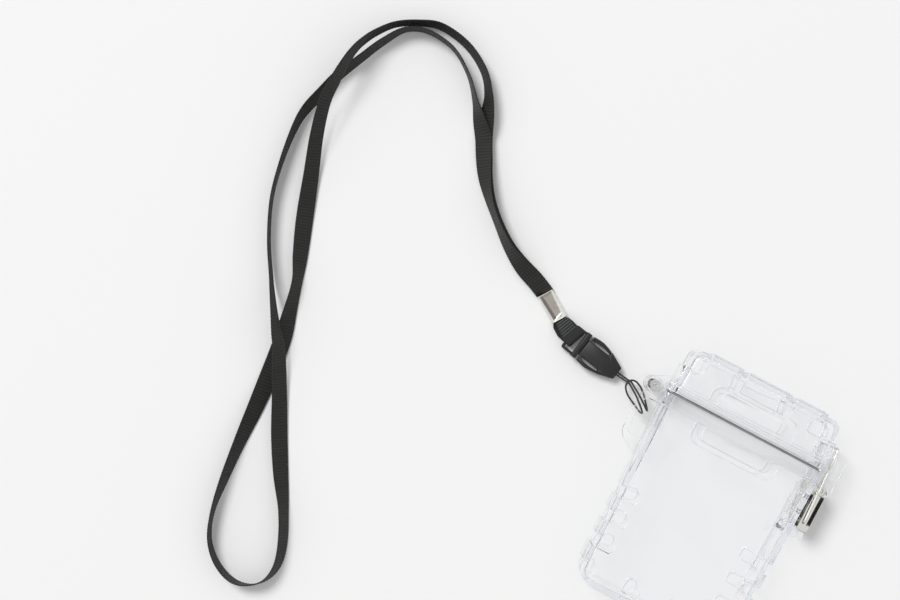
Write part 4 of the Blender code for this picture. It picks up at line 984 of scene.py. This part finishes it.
@dataclass
class StrapTab:
    """The short strap folded round the buckle's bar, with both its layers in the crimp and sewn together.

    Its edges are given in millimetres: where the left and the right edge are, and how high.
    """

    thickness: float = 0.9 * MM
    fold_radius: float = 1.65 * MM
    middle: float = 3.0 * MM
    fold_left: Pair = (-98.40, 35.90)
    fold_right: Pair = (-94.60, 46.30)
    upper: tuple[tuple[float, float, float, float, float], ...] = (
        (-114.3, 46.5, -111.4, 50.9, 3.45), (-111.4, 44.3, -108.5, 48.9, 3.45),
        (-110.1, 42.9, -106.3, 49.4, 4.1), (-106.2, 39.8, -103.4, 48.9, 4.6),
        (-102.3, 37.3, -98.9, 47.4, 4.6),
    )
    lower: tuple[tuple[float, float, float, float, float], ...] = (
        (-106.6, 38.1, -102.8, 46.8, 1.4), (-110.9, 41.0, -107.2, 47.6, 1.7),
        (-111.9, 43.6, -108.8, 48.3, 2.45), (-114.7, 45.8, -111.9, 50.2, 2.45),
    )
    fold_steps: int = 12
    steps: tuple[int, int, int] = (60, 20, 60)
    across: int = 18
    ease: int = 4
    rib: float = 0.85 * MM
    rows: int = 6
    row_start: float = 0.135
    row_pitch: float = 0.036
    columns: int = 6
    column_start: float = -0.74
    column_run: float = 1.36
    column_shifts: Pair = (-0.02, 0.12)
    # The webbing's grooves between its ribs are painted darker: painted shade.
    webbing: Finish = Ribbed("black_strap_webbing", (0.014, 0.014, 0.014), (0.028, 0.028, 0.027))

    def edge(self, side: int) -> list[Vector]:
        """One edge of the strap, from the crimp round the bar and back.

        Args:
            side: 0 for the left edge and 1 for the right one.

        Returns:
            Its points.
        """
        left, right = Vector(self.fold_left), Vector(self.fold_right)
        run = (right - left).normalized()
        back = Vector((-run.y, run.x))
        turn = (right if side else left) * MM + back * (self.fold_radius + self.thickness / 2)
        fold = []
        for step in range(self.fold_steps + 1):
            angle = math.pi * (0.5 - step / self.fold_steps)
            spot = turn - back * self.fold_radius * math.cos(angle)
            fold.append(Vector((spot.x, spot.y, self.middle + self.fold_radius * math.sin(angle))))
        first, last = (
            [Vector((row[2 * side], row[2 * side + 1], row[4])) * MM for row in rows]
            for rows in (self.upper, self.lower)
        )
        line = []
        for points, steps in zip(([*first, fold[0]], fold, [fold[-1], *last]), self.steps):
            line += paced(points, steps)[:-1]
        return eased([*line, last[-1]], self.ease)

    def surface(self, index: int, across: float, lines: Edges) -> tuple[Vector, Vector]:
        """A point half way through the strap, and the way out of it.

        Args:
            index: The station along the strap.
            across: From -1 at the left edge to 1 at the right one.
            lines: The two edges.

        Returns:
            The point and the direction.
        """
        share = (across + 1.0) / 2
        before, after = max(index - 1, 0), min(index + 1, len(lines[0]) - 1)
        start, end = (lines[0][station].lerp(lines[1][station], share) for station in (before, after))
        along = end - start
        way = along.cross(lines[1][index] - lines[0][index]).normalized()
        return lines[0][index].lerp(lines[1][index], share), way

    def strap(self, lines: Edges) -> Piece:
        """Makes the folded strap.

        Args:
            lines: The two edges.

        Returns:
            The piece.
        """
        bm = bmesh.new()
        ribs = bm.verts.layers.float.new("rib")
        widths = bm.verts.layers.float.new("across")
        spots = [math.sin(math.pi * (step / self.across - 0.5)) for step in range(self.across + 1)]
        middles = [left.lerp(right, 0.5) for left, right in zip(*lines)]
        rings = []
        for index in range(len(middles)):
            travelled = run_length(middles[:index + 1])
            ring = []
            for face, share in ((1, spots), (-1, spots[-2:0:-1])):
                for across in share:
                    place, way = self.surface(index, across, lines)
                    half = self.thickness / 2 * math.sqrt(max(0.0, 1.0 - abs(across) ** 10))
                    vertex = bm.verts.new(place + way * face * half)
                    vertex[ribs] = travelled / self.rib
                    vertex[widths] = across
                    ring.append(vertex)
            rings.append(ring)
        skin(bm, rings)
        bm.faces.new(rings[0][::-1])
        bm.faces.new(rings[-1])
        bmesh.ops.recalc_face_normals(bm, faces=bm.faces)
        mesh = smooth_mesh(bm, "folded_strap", self.webbing)
        return settle(shown("folded_strap", mesh), "strap_tab")

    def stitches(self, lines: Edges) -> Piece:
        """Sews rows of thread across the upper layer.

        Args:
            lines: The two edges.

        Returns:
            The piece.
        """
        places, ways, outs = [], [], []
        for row in range(self.rows):
            index = round((self.row_start + row * self.row_pitch) * len(lines[0]))
            for column in range(self.columns):
                share = (column + self.column_shifts[row % 2]) / (self.columns - 1)
                place, out = self.surface(index, self.column_start + self.column_run * share, lines)
                places.append(tuple(place + out * self.thickness / 2))
                ways.append((lines[1][index] - lines[0][index]).normalized())
                outs.append(out)
        mesh = bpy.data.meshes.new("stitch_places")
        mesh.from_pydata(places, [], [])
        for name, values in (("way", ways), ("out", outs)):
            numbers = [number for value in values for number in value]
            mesh.attributes.new(name, "FLOAT_VECTOR", "POINT").data.foreach_set("vector", numbers)
        piece = Stitch().tree().bake(shown("stitch_places", mesh), "strap_stitches")
        return settle(piece, "strap_tab", replaces=False)

    def build(self) -> None:
        """Makes the strap and its stitches."""
        lines = (self.edge(0), self.edge(1))
        strap = self.strap(lines)
        stitches = self.stitches(lines)
        LOG.info("strap tab: %d faces, stitches: %d", len(strap.data.polygons), len(stitches.data.polygons))


@dataclass
class Stitch:
    """One stitch: a short thread that rises out of the strap and dives back."""

    thread: float = 0.17 * MM
    length: float = 1.2 * MM
    rise: float = 0.24 * MM
    wobble: float = math.radians(9.0)
    uneven: float = 0.18
    sides: int = 6
    steps: int = 6
    seed: int = 7

    def tree(self) -> GeometryTree:
        """Makes the tree that lays a stitch on each point, along its way and out of the strap.

        Returns:
            The tree.
        """
        tree = GeometryTree("stitches")
        thread, length = tree.size("Thread radius", self.thread), tree.size("Length", self.length)
        rise, wobble = tree.size("Rise", self.rise), tree.size("Wobble", self.wobble)
        uneven = tree.size("Unevenness", self.uneven)
        half, low = tree.sums("MULTIPLY", length, 0.5), tree.sums("MULTIPLY", rise, -0.5)
        start = tree.add("ShaderNodeCombineXYZ", {"X": tree.sums("MULTIPLY", half, -1.0), "Z": low})
        top = tree.add("ShaderNodeCombineXYZ", {"Z": tree.sums("MULTIPLY", rise, 1.5)})
        end = tree.add("ShaderNodeCombineXYZ", {"X": half, "Z": low})
        inputs = {"Resolution": self.steps, "Start": start, "Middle": top, "End": end}
        arch = tree.add("GeometryNodeCurveQuadraticBezier", inputs)
        ring = tree.add("GeometryNodeCurvePrimitiveCircle", {"Resolution": self.sides, "Radius": thread})
        stitch = tree.sweep(arch, ring)
        inputs = {"Vector": tree.read("way", "FLOAT_VECTOR")}
        turned = tree.add("FunctionNodeAlignRotationToVector", inputs, axis="X")
        inputs = {"Rotation": turned, "Vector": tree.read("out", "FLOAT_VECTOR")}
        turned = tree.add("FunctionNodeAlignRotationToVector", inputs, axis="Z", pivot_axis="X")
        swing = tree.chance(tree.sums("MULTIPLY", wobble, -1.0), wobble, self.seed)
        inputs = {"Axis": (0.0, 0.0, 1.0), "Angle": swing}
        inputs = {"Rotation": turned, "Rotate By": tree.add("FunctionNodeAxisAngleToRotation", inputs)}
        turned = tree.add("FunctionNodeRotateRotation", inputs, rotation_space="LOCAL")
        low, high = tree.sums("SUBTRACT", 1.0, uneven), tree.sums("ADD", 1.0, uneven)
        stretch = tree.chance(low, high, self.seed + 1)
        size = tree.add("ShaderNodeCombineXYZ", {"X": stretch, "Y": 1.0, "Z": 1.0})
        inputs = {"Points": tree.entry.outputs[0], "Instance": stitch, "Rotation": turned, "Scale": size}
        sewn = tree.add("GeometryNodeInstanceOnPoints", inputs)
        tree.end(sewn, THREAD)
        return tree


@dataclass
class NeckRibbon:
    """The narrow ribbed ribbon: one band, whose two ends lie side by side into the crimp.

    Both runs give x and y in metres and the lean in degrees. The loop's also gives a lift before the lean.
    """

    width: float = 9.5 * MM
    thickness: float = 0.8 * MM
    spacing: float = 1.3 * MM
    end_height: float = 3.0 * MM
    rib: float = 1.57 * MM
    ribs: int = 640
    rib_steps: int = 6
    rib_depth: float = 0.15 * MM
    rib_sharpness: float = 3.0
    profile_points: int = 16
    squareness: float = 0.32
    shared_run: tuple[Triple, ...] = (
        (-0.1234, 0.0551, 90), (-0.1244, 0.0557, 90), (-0.1310, 0.0586, 84), (-0.1385, 0.0612, 62),
        (-0.1455, 0.0644, 42), (-0.1535, 0.0693, 26), (-0.1635, 0.0774, 18), (-0.1718, 0.0852, 24),
        (-0.1788, 0.0936, 42), (-0.1843, 0.1024, 58), (-0.1894, 0.1116, 68),
    )
    loop_run: tuple[tuple[float, float, float, float], ...] = (
        (-0.1956, 0.1186, 0, 44), (-0.2024, 0.1266, 0, 16), (-0.2120, 0.1370, 0, 6),
        (-0.2252, 0.1454, 0, 4), (-0.2405, 0.1472, 0, 4), (-0.2520, 0.1427, 0, 6),
        (-0.2598, 0.1312, 0, 14), (-0.2662, 0.1176, 0, 18), (-0.2721, 0.1050, 0, 26),
        (-0.2753, 0.0936, 0, 30), (-0.2786, 0.0822, 0, 24), (-0.2794, 0.0712, 0, 14),
        (-0.2774, 0.0522, 0, 6), (-0.2728, 0.0320, 0, 3), (-0.2640, 0.0122, 0, 3),
        (-0.2536, -0.0046, 0.0010, 5), (-0.2482, -0.0126, 0.0036, 9), (-0.2426, -0.0206, 0.0064, 16),
        (-0.2372, -0.0286, 0.0068, 26), (-0.2316, -0.0370, 0.0046, 38), (-0.2214, -0.0566, 0.0012, 50),
        (-0.2112, -0.0764, 0, 60), (-0.2014, -0.0932, 0, 50), (-0.1914, -0.1088, 0, 28),
        (-0.1836, -0.1244, 0, 26), (-0.1804, -0.1364, 0, 22), (-0.1824, -0.1462, 0, 12),
        (-0.1892, -0.1526, 0, 5), (-0.1986, -0.1542, 0, -5), (-0.2096, -0.1496, 0, -6),
        (-0.2184, -0.1404, 0, -4), (-0.2234, -0.1274, 0, -6), (-0.2260, -0.1100, 0, -22),
        (-0.2280, -0.0884, 0, -38), (-0.2294, -0.0680, 0, -62), (-0.2312, -0.0500, 0, -80),
        (-0.2334, -0.0320, 0, -78), (-0.2368, -0.0160, 0, -44), (-0.2408, 0, 0, -30),
        (-0.2460, 0.0130, 0, -52), (-0.2530, 0.0308, 0, -69), (-0.2602, 0.0520, 0.0014, -54),
        (-0.2668, 0.0716, 0.0052, -42), (-0.2707, 0.0886, 0.0088, -34), (-0.2711, 0.1010, 0.0098, -28),
        (-0.2708, 0.1096, 0.0106, -22), (-0.2700, 0.1176, 0.0104, -16), (-0.2682, 0.1250, 0.0084, -12),
        (-0.2644, 0.1336, 0.0044, -10), (-0.2576, 0.1426, 0.0012, -8), (-0.2474, 0.1490, 0, -10),
        (-0.2358, 0.1528, 0, -14), (-0.2196, 0.1504, 0, -16), (-0.2060, 0.1428, 0, -18),
        (-0.1980, 0.1330, 0.0004, -26), (-0.1934, 0.1226, 0.0014, -52),
    )

    def resting_height(self, lean: float) -> float:
        """How high the leaning ribbon's middle is above the floor that its lower edge rests on."""
        turn = math.radians(lean)
        return self.width / 2 * math.cos(turn) + self.thickness / 2 * abs(math.sin(turn)) + GAP

    def strand(self, side: int) -> list[Vector]:
        """One of the two strands side by side.

        Args:
            side: -1 for the strand that leaves the crimp, 1 for the one that comes back.

        Returns:
            Its route: x, y, z and the lean in degrees.
        """
        route = []
        last = len(self.shared_run) - 1
        for index, (x, y, lean) in enumerate(self.shared_run):
            before, after = self.shared_run[max(index - 1, 0)], self.shared_run[min(index + 1, last)]
            way = Vector((after[0] - before[0], after[1] - before[1])).normalized()
            half, turn = side * self.spacing / 2, math.radians(lean)
            aside, down = half * math.cos(turn), half * math.sin(turn)
            low = self.end_height if index == 0 else self.resting_height(lean) + abs(down)
            route.append(Vector((x + way.y * aside, y - way.x * aside, low - down, lean)))
        return route

    def route(self) -> list[Vector]:
        """Joins both strands and the loop.

        Returns:
            The whole ribbon's route, from the crimp round the loop and back.
        """
        loop = [
            Vector((x, y, self.resting_height(lean) + lift, lean)) for x, y, lift, lean in self.loop_run
        ]
        back = [Vector((*point[:3], -point[3])) for point in reversed(self.strand(1))]
        return self.strand(-1) + loop + back

    def tree(self) -> GeometryTree:
        """Makes the tree that sweeps a flat oval along the route and presses grooves between the ribs.

        Returns:
            The tree.
        """
        tree = GeometryTree("ribs")
        ribs, steps = tree.size("Ribs", self.ribs), tree.size("Steps in a rib", self.rib_steps)
        wide, thick = tree.size("Width", self.width), tree.size("Thickness", self.thickness)
        depth, square = tree.size("Groove depth", self.rib_depth), tree.size("Squareness", self.squareness)
        line = tree.add("GeometryNodeMeshToCurve", {0: tree.entry.outputs[0]})
        line = tree.add("GeometryNodeSetCurveNormal", {0: line}, mode="Z_UP")
        line = tree.add("GeometryNodeSetCurveTilt", {"Curve": line, "Tilt": tree.read("lean")})
        count = tree.sums("ADD", tree.sums("MULTIPLY", ribs, steps), 1.0)
        line = tree.add("GeometryNodeResampleCurve", {"Curve": line, "Count": count})
        share = tree.add("GeometryNodeSplineParameter")
        line = tree.store(line, "rib", tree.sums("MULTIPLY", share, ribs))
        inputs = {"Resolution": self.profile_points, "Radius": 1.0}
        ring = tree.add("GeometryNodeCurvePrimitiveCircle", inputs)
        place = tree.node("ShaderNodeSeparateXYZ", {0: tree.add("GeometryNodeInputPosition")}).outputs
        flat, tall = self.squared(tree, place["X"], square), self.squared(tree, place["Y"], square)
        ring = tree.store(ring, "across", tall)
        inputs = {
            "X": tree.sums("MULTIPLY", flat, tree.sums("DIVIDE", thick, 2.0)),
            "Y": tree.sums("MULTIPLY", tall, tree.sums("DIVIDE", wide, 2.0)),
        }
        spot = tree.add("ShaderNodeCombineXYZ", inputs)
        ring = tree.add("GeometryNodeSetPosition", {"Geometry": ring, "Position": spot})
        band = tree.sweep(line, ring)
        wave = tree.sums("ABSOLUTE", tree.sums("COSINE", tree.sums("MULTIPLY", tree.read("rib"), math.pi)))
        wave = tree.sums("POWER", wave, self.rib_sharpness)
        press = tree.sums("MULTIPLY", wave, tree.sums("MULTIPLY", depth, -1.0))
        inputs = {0: tree.add("GeometryNodeInputNormal"), "Scale": press}
        inward = tree.add("ShaderNodeVectorMath", inputs, operation="SCALE")
        band = tree.add("GeometryNodeSetPosition", {"Geometry": band, "Offset": inward})
        tree.end(band, Ribbed())
        return tree

    @staticmethod
    def squared(tree: GeometryTree, value: Socket, power: Socket) -> Socket:
        """A coordinate of a round ring, pushed out towards a square one."""
        size = tree.sums("POWER", tree.sums("ABSOLUTE", value), power)
        return tree.sums("MULTIPLY", size, tree.sums("SIGN", value))

    def build(self) -> Piece:
        """Returns:
            The piece.
        """
        points = smooth(self.route(), self.rib / 2)
        places = [point.to_3d() for point in points]
        carrier = wire("ribbon_route", places, [math.radians(point[3]) for point in points])
        piece = self.tree().bake(carrier, "ribbed_neck_ribbon")
        settle(piece, "neck_ribbon")
        return piece


@dataclass
class HitchCord:
    """The thin doubled cord from the eye to the buckle, tied round the eye with a lark's head.

    Half and bight are in millimetres along, across and above the knot. Each point of the tail has its
    share of the way from the buckle to the half's start, and its lift in millimetres.
    """

    radius: float = 0.5 * MM
    knot: Pair = (-0.0620, 0.0344)
    turn: float = math.radians(-38.0)
    half: tuple[Triple, ...] = (
        (0.0, 0.65, 5.2), (3.2, 0.70, 9.6), (6.4, 0.80, 14.0), (10.0, 0.95, 14.8), (13.6, 1.10, 14.2),
        (15.9, 1.30, 12.2), (16.1, 1.80, 9.9), (14.2, 2.40, 8.4), (11.2, 3.00, 8.3), (8.0, 3.60, 7.4),
        (4.4, 3.90, 6.1), (1.0, 3.10, 5.7), (-0.8, 1.50, 6.6),
    )
    bight: Triple = (-1.1, 0.0, 7.1)
    tail: tuple[Pair, ...] = ((0.0, 0.0), (0.35, 0.2), (0.7, 0.9))
    ring_points: int = 12
    braid_turn: float = 1.3 * MM

    def at(self, along: float, across: float, up: float) -> Vector:
        """A point given in millimetres along, across and above the knot."""
        return placed(self.knot, self.turn, along * MM, across * MM, up * MM)

    def route(self) -> list[Vector]:
        """Joins the cord's two mirrored halves.

        Returns:
            Its way out of the buckle, round the eye and back.
        """
        buckle = Buckle()
        ends = []
        for side in (1, -1):
            aside = -side * (self.radius + GAP / 2)
            start = placed(buckle.tip, buckle.turn + math.pi, -GAP, aside, 0.0)
            half = [self.at(along, side * across, up) for along, across, up in self.half]
            tail = []
            for share, lift in self.tail:
                spot = start.lerp(half[0], share)
                tail.append(Vector((spot.x, spot.y, buckle.thickness / 2 + lift * MM)))
            ends.append(tail + half)
        return ends[0] + [self.at(*self.bight)] + ends[1][::-1]

    def tree(self, turns: float) -> GeometryTree:
        """Makes the tree that sweeps a round ring along the route and counts the braid's turns.

        Args:
            turns: How many turns the braid makes.

        Returns:
            The tree.
        """
        tree = GeometryTree("cord")
        radius, count = tree.size("Radius", self.radius), tree.size("Braid turns", turns)
        line = tree.add("GeometryNodeMeshToCurve", {0: tree.entry.outputs[0]})
        share = tree.add("GeometryNodeSplineParameter")
        line = tree.store(line, "run", tree.sums("MULTIPLY", share, count))
        inputs = {"Resolution": self.ring_points, "Radius": radius}
        ring = tree.add("GeometryNodeCurvePrimitiveCircle", inputs)
        ring = tree.store(ring, "around", tree.add("GeometryNodeSplineParameter"))
        tree.end(tree.sweep(line, ring), Braid())
        return tree

    def build(self) -> Piece:
        """Returns:
            The piece.
        """
        points = smooth(self.route(), self.radius / 2)
        length = run_length(points)
        carrier = wire("cord_route", points)
        piece = self.tree(length / self.braid_turn).bake(carrier, "braided_hitch_cord")
        settle(piece, "hitch_cord")
        LOG.info("hitch cord: %.3f m, %d faces", length, len(piece.data.polygons))
        return piece


@dataclass
class Softened:
    """A copy of a CAD node with its small edges rounded."""

    node: str
    finish: Finish
    slot: Slot
    round_over: float = 0.12 * MM
    segments: int = 2
    painted_highlight_edge_finish: Finish | None = None
    sharp_from: float = math.radians(32.0)
    share_of_edge: float = 0.42
    least_reach: float = 0.02
    weld: float = 0.01 * MM
    flat_within: float = math.radians(0.15)

    def shape(self, bm: bmesh.types.BMesh) -> None:
        """Changes the copy before its edges are rounded. A plain piece keeps its shape."""

    def widths(self, bm: bmesh.types.BMesh) -> None:
        """Writes on each sharp edge how much of the full width it may be rounded by.

        Beside a short edge or a narrow corner the rounding runs out, so that it never crosses itself.

        Args:
            bm: The piece's mesh.
        """
        weights = bm.edges.layers.float.new("bevel_weight_edge")
        sharp = {
            edge for edge in bm.edges
            if len(edge.link_faces) == 2 and edge.calc_face_angle(0.0) > self.sharp_from
        }
        for edge in sharp:
            room = self.round_over
            for corner in edge.verts:
                way = (edge.other_vert(corner).co - corner.co).normalized()
                for other in corner.link_edges:
                    if other is edge:
                        continue
                    along = (other.other_vert(corner).co - corner.co).normalized()
                    angle = max(self.least_reach, way.angle(along))
                    reach = math.tan(angle / 2) if other in sharp else math.sin(angle)
                    reach = max(reach, self.least_reach)
                    room = min(room, self.share_of_edge * other.calc_length() * reach)
            for face in edge.link_faces:
                for other in face.edges:
                    if other in sharp and not set(other.verts) & set(edge.verts):
                        room = min(room, self.share_of_edge * self.between(edge, other))
            edge[weights] = room / self.round_over

    @staticmethod
    def between(first: bmesh.types.BMEdge, second: bmesh.types.BMEdge) -> float:
        """Measures how near two edges of a flat face come to each other.

        Args:
            first: One edge.
            second: The other edge.

        Returns:
            The distance.
        """
        nearest = []
        for edge, other in ((first, second), (second, first)):
            start = edge.verts[0].co
            way = edge.verts[1].co - start
            for vertex in other.verts:
                share = min(1.0, max(0.0, (vertex.co - start).dot(way) / way.length_squared))
                nearest.append((vertex.co - start - way * share).length)
        return min(nearest)

    def build(self) -> Piece:
        """Makes the copy and lets it stand for its node.

        Returns:
            The piece.
        """
        bm = bmesh.new()
        bm.from_mesh(frame["nodes"][self.node].data)
        bmesh.ops.remove_doubles(bm, verts=bm.verts, dist=self.weld)
        bmesh.ops.dissolve_limit(bm, angle_limit=self.flat_within, verts=bm.verts, edges=bm.edges)
        self.shape(bm)
        self.widths(bm)
        mesh = smooth_mesh(bm, self.node, self.finish)
        for polygon in mesh.polygons:
            polygon.material_index = 0
        mesh.set_sharp_from_angle(angle=self.sharp_from)
        if "creased" in mesh.attributes:
            for edge, crease in zip(mesh.edges, mesh.attributes["creased"].data):
                edge.use_edge_sharp |= bool(crease.value)
        piece = shown(f"{self.node}_dressed", mesh)
        rounding = piece.modifiers.new("rounded_edges", "BEVEL")
        rounding.limit_method = "WEIGHT"
        rounding.offset_type = "WIDTH"
        rounding.width = self.round_over
        rounding.segments = self.segments
        rounding.use_clamp_overlap = False
        rounding.harden_normals = True
        # On the clear case the rounded faces' finish paints highlights and shade.
        if self.painted_highlight_edge_finish:
            mesh.materials.append(self.painted_highlight_edge_finish.material())
            rounding.material = 1
        settle(piece, self.node)
        LOG.info("%s: %d faces before rounding", piece.name, len(mesh.polygons))
        return piece


@dataclass
class Buckle:
    """The small side-release buckle."""

    tip: Pair = (-70.2 * MM, 35.4 * MM)
    turn: float = math.radians(-10.6)
    thickness: float = 6.0 * MM
    round_over: float = 0.18 * MM
    finish: Finish = MOULDED

    def build(self) -> None:
        """Makes both halves and the two springs."""
        for node in ("buckle_socket", "squeeze_lever_left", "squeeze_lever_right", "buckle_plug"):
            Softened(node, self.finish, Slot.BUCKLE, self.round_over).build()


@dataclass
class ClearCase:
    """The clear cup and its cap, with the black seal between them."""

    finish: Finish = ClearPlastic()
    # Its rounded edges are painted: most of each is white diffuse, a painted highlight, and the rest glass
    # tinted grey, a painted shade.
    painted_highlight_edge_finish: Finish = ClearPlastic("painted_highlight_plastic_edge", tint=(0.62, 0.63, 0.67), painted_highlight=0.8)
    round_over: float = 0.27 * MM
    seal_round: float = 0.30 * MM

    def build(self) -> None:
        """Makes the two clear halves and dresses the seal."""
        for node in ("case_body", "case_lid"):
            Softened(node, self.finish, Slot.CLEAR, self.round_over, 2, self.painted_highlight_edge_finish).build()
        Softened("seal_ring", RUBBER, Slot.RUBBER, self.seal_round, 4).build()


@dataclass
class Hinge:
    """The pin through the knuckles and its two open clips."""

    clip_finish: Finish = Steel("spring_steel", (0.62, 0.61, 0.60), (0.50, 0.49, 0.48))

    def build(self) -> None:
        """Dresses the pin and the clips."""
        low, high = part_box("hinge_pin")
        axis = ((low[0] + high[0]) / 2, (low[1] + high[1]) / 2)
        dress(TurnedSteel(axis=axis), "hinge_pin")
        dress(self.clip_finish, "hinge_clip_front", "hinge_clip_back")


@dataclass
class Lever(Softened):
    """The folded lever, whose front and back flanges fall away slightly round a flat strip."""

    inner: float = 50.4 * MM
    lower: float = 12.4 * MM
    upper: float = 27.9 * MM
    strip_slope: float = 0.07
    side_slope: float = 0.10
    end_slope: float = 0.09
    level: float = 0.05 * MM
    crease_from: float = math.radians(2.0)

    def flanges(self, bm: bmesh.types.BMesh) -> list[bmesh.types.BMFace]:
        """Finds the faces at the lever's front and back.

        Args:
            bm: The copy's mesh.

        Returns:
            The faces.
        """
        low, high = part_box(self.node)
        return [
            face for face in bm.faces
            if all(min(v.co.z - low[2], high[2] - v.co.z) < self.level for v in face.verts)
        ]

    def shape(self, bm: bmesh.types.BMesh) -> None:
        """Creases both flanges and lowers them beyond the creases.

        Args:
            bm: The copy's mesh.
        """
        low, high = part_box(self.node)
        for axis, place in ((0, self.inner), (1, self.lower), (1, self.upper)):
            way = Vector([float(step == axis) for step in range(3)])
            parts = dict.fromkeys(part for f in self.flanges(bm) for part in (f, *f.edges, *f.verts))
            bmesh.ops.bisect_plane(bm, geom=list(parts), plane_co=way * place, plane_no=way)
        flanges = self.flanges(bm)
        for vertex in {v for face in flanges for v in face.verts}:
            x, y, z = vertex.co
            fall = max(self.strip_slope * (x - self.inner), self.side_slope * (self.inner - x))
            fall += self.end_slope * max(0.0, self.lower - y, y - self.upper)
            vertex.co.z -= math.copysign(fall, z - (low[2] + high[2]) / 2)
        creased = bm.edges.layers.int.new("creased")
        for edge in {e for face in flanges for e in face.edges}:
            edge[creased] = int(edge.calc_face_angle(0.0) > self.crease_from)


@dataclass
class Latch:
    """The draw latch: its base, rivets, pin, folded lever and wire loop."""

    finish: Finish = Steel()
    lever_finish: Finish = Steel("bright_lever_steel", smooth=0.04, rough=0.10)
    round_over: float = 0.15 * MM

    def build(self) -> None:
        """Makes the lever and the base, and dresses the rest."""
        Lever("latch_lever", self.lever_finish, Slot.STEEL, self.round_over).build()
        Softened("latch_base", self.finish, Slot.STEEL, self.round_over).build()
        dress(self.finish, "latch_rivet_upper", "latch_rivet_lower", "lever_pin", "latch_bail")


def dress(finish: Finish, *nodes: str) -> None:
    """Gives CAD nodes a finish and keeps their shapes.

    Args:
        finish: The finish.
        *nodes: The nodes.
    """
    for node in nodes:
        thing = frame["nodes"][node]
        thing.data.materials.clear()
        thing.data.materials.append(finish.material())
        LOG.info("%s: dressed in %s", node, finish.name)


def main() -> None:
    """Builds the studio, then the cords, then everything rigid."""
    Studio().build()
    NeckRibbon().build()
    HitchCord().build()
    ClearCase().build()
    Hinge().build()
    Latch().build()
    Buckle().build()
    Crimp().build()
    StrapTab().build()


if __name__ == "__main__":
    logging.basicConfig(level=logging.INFO, format="%(name)s: %(message)s")
    main()
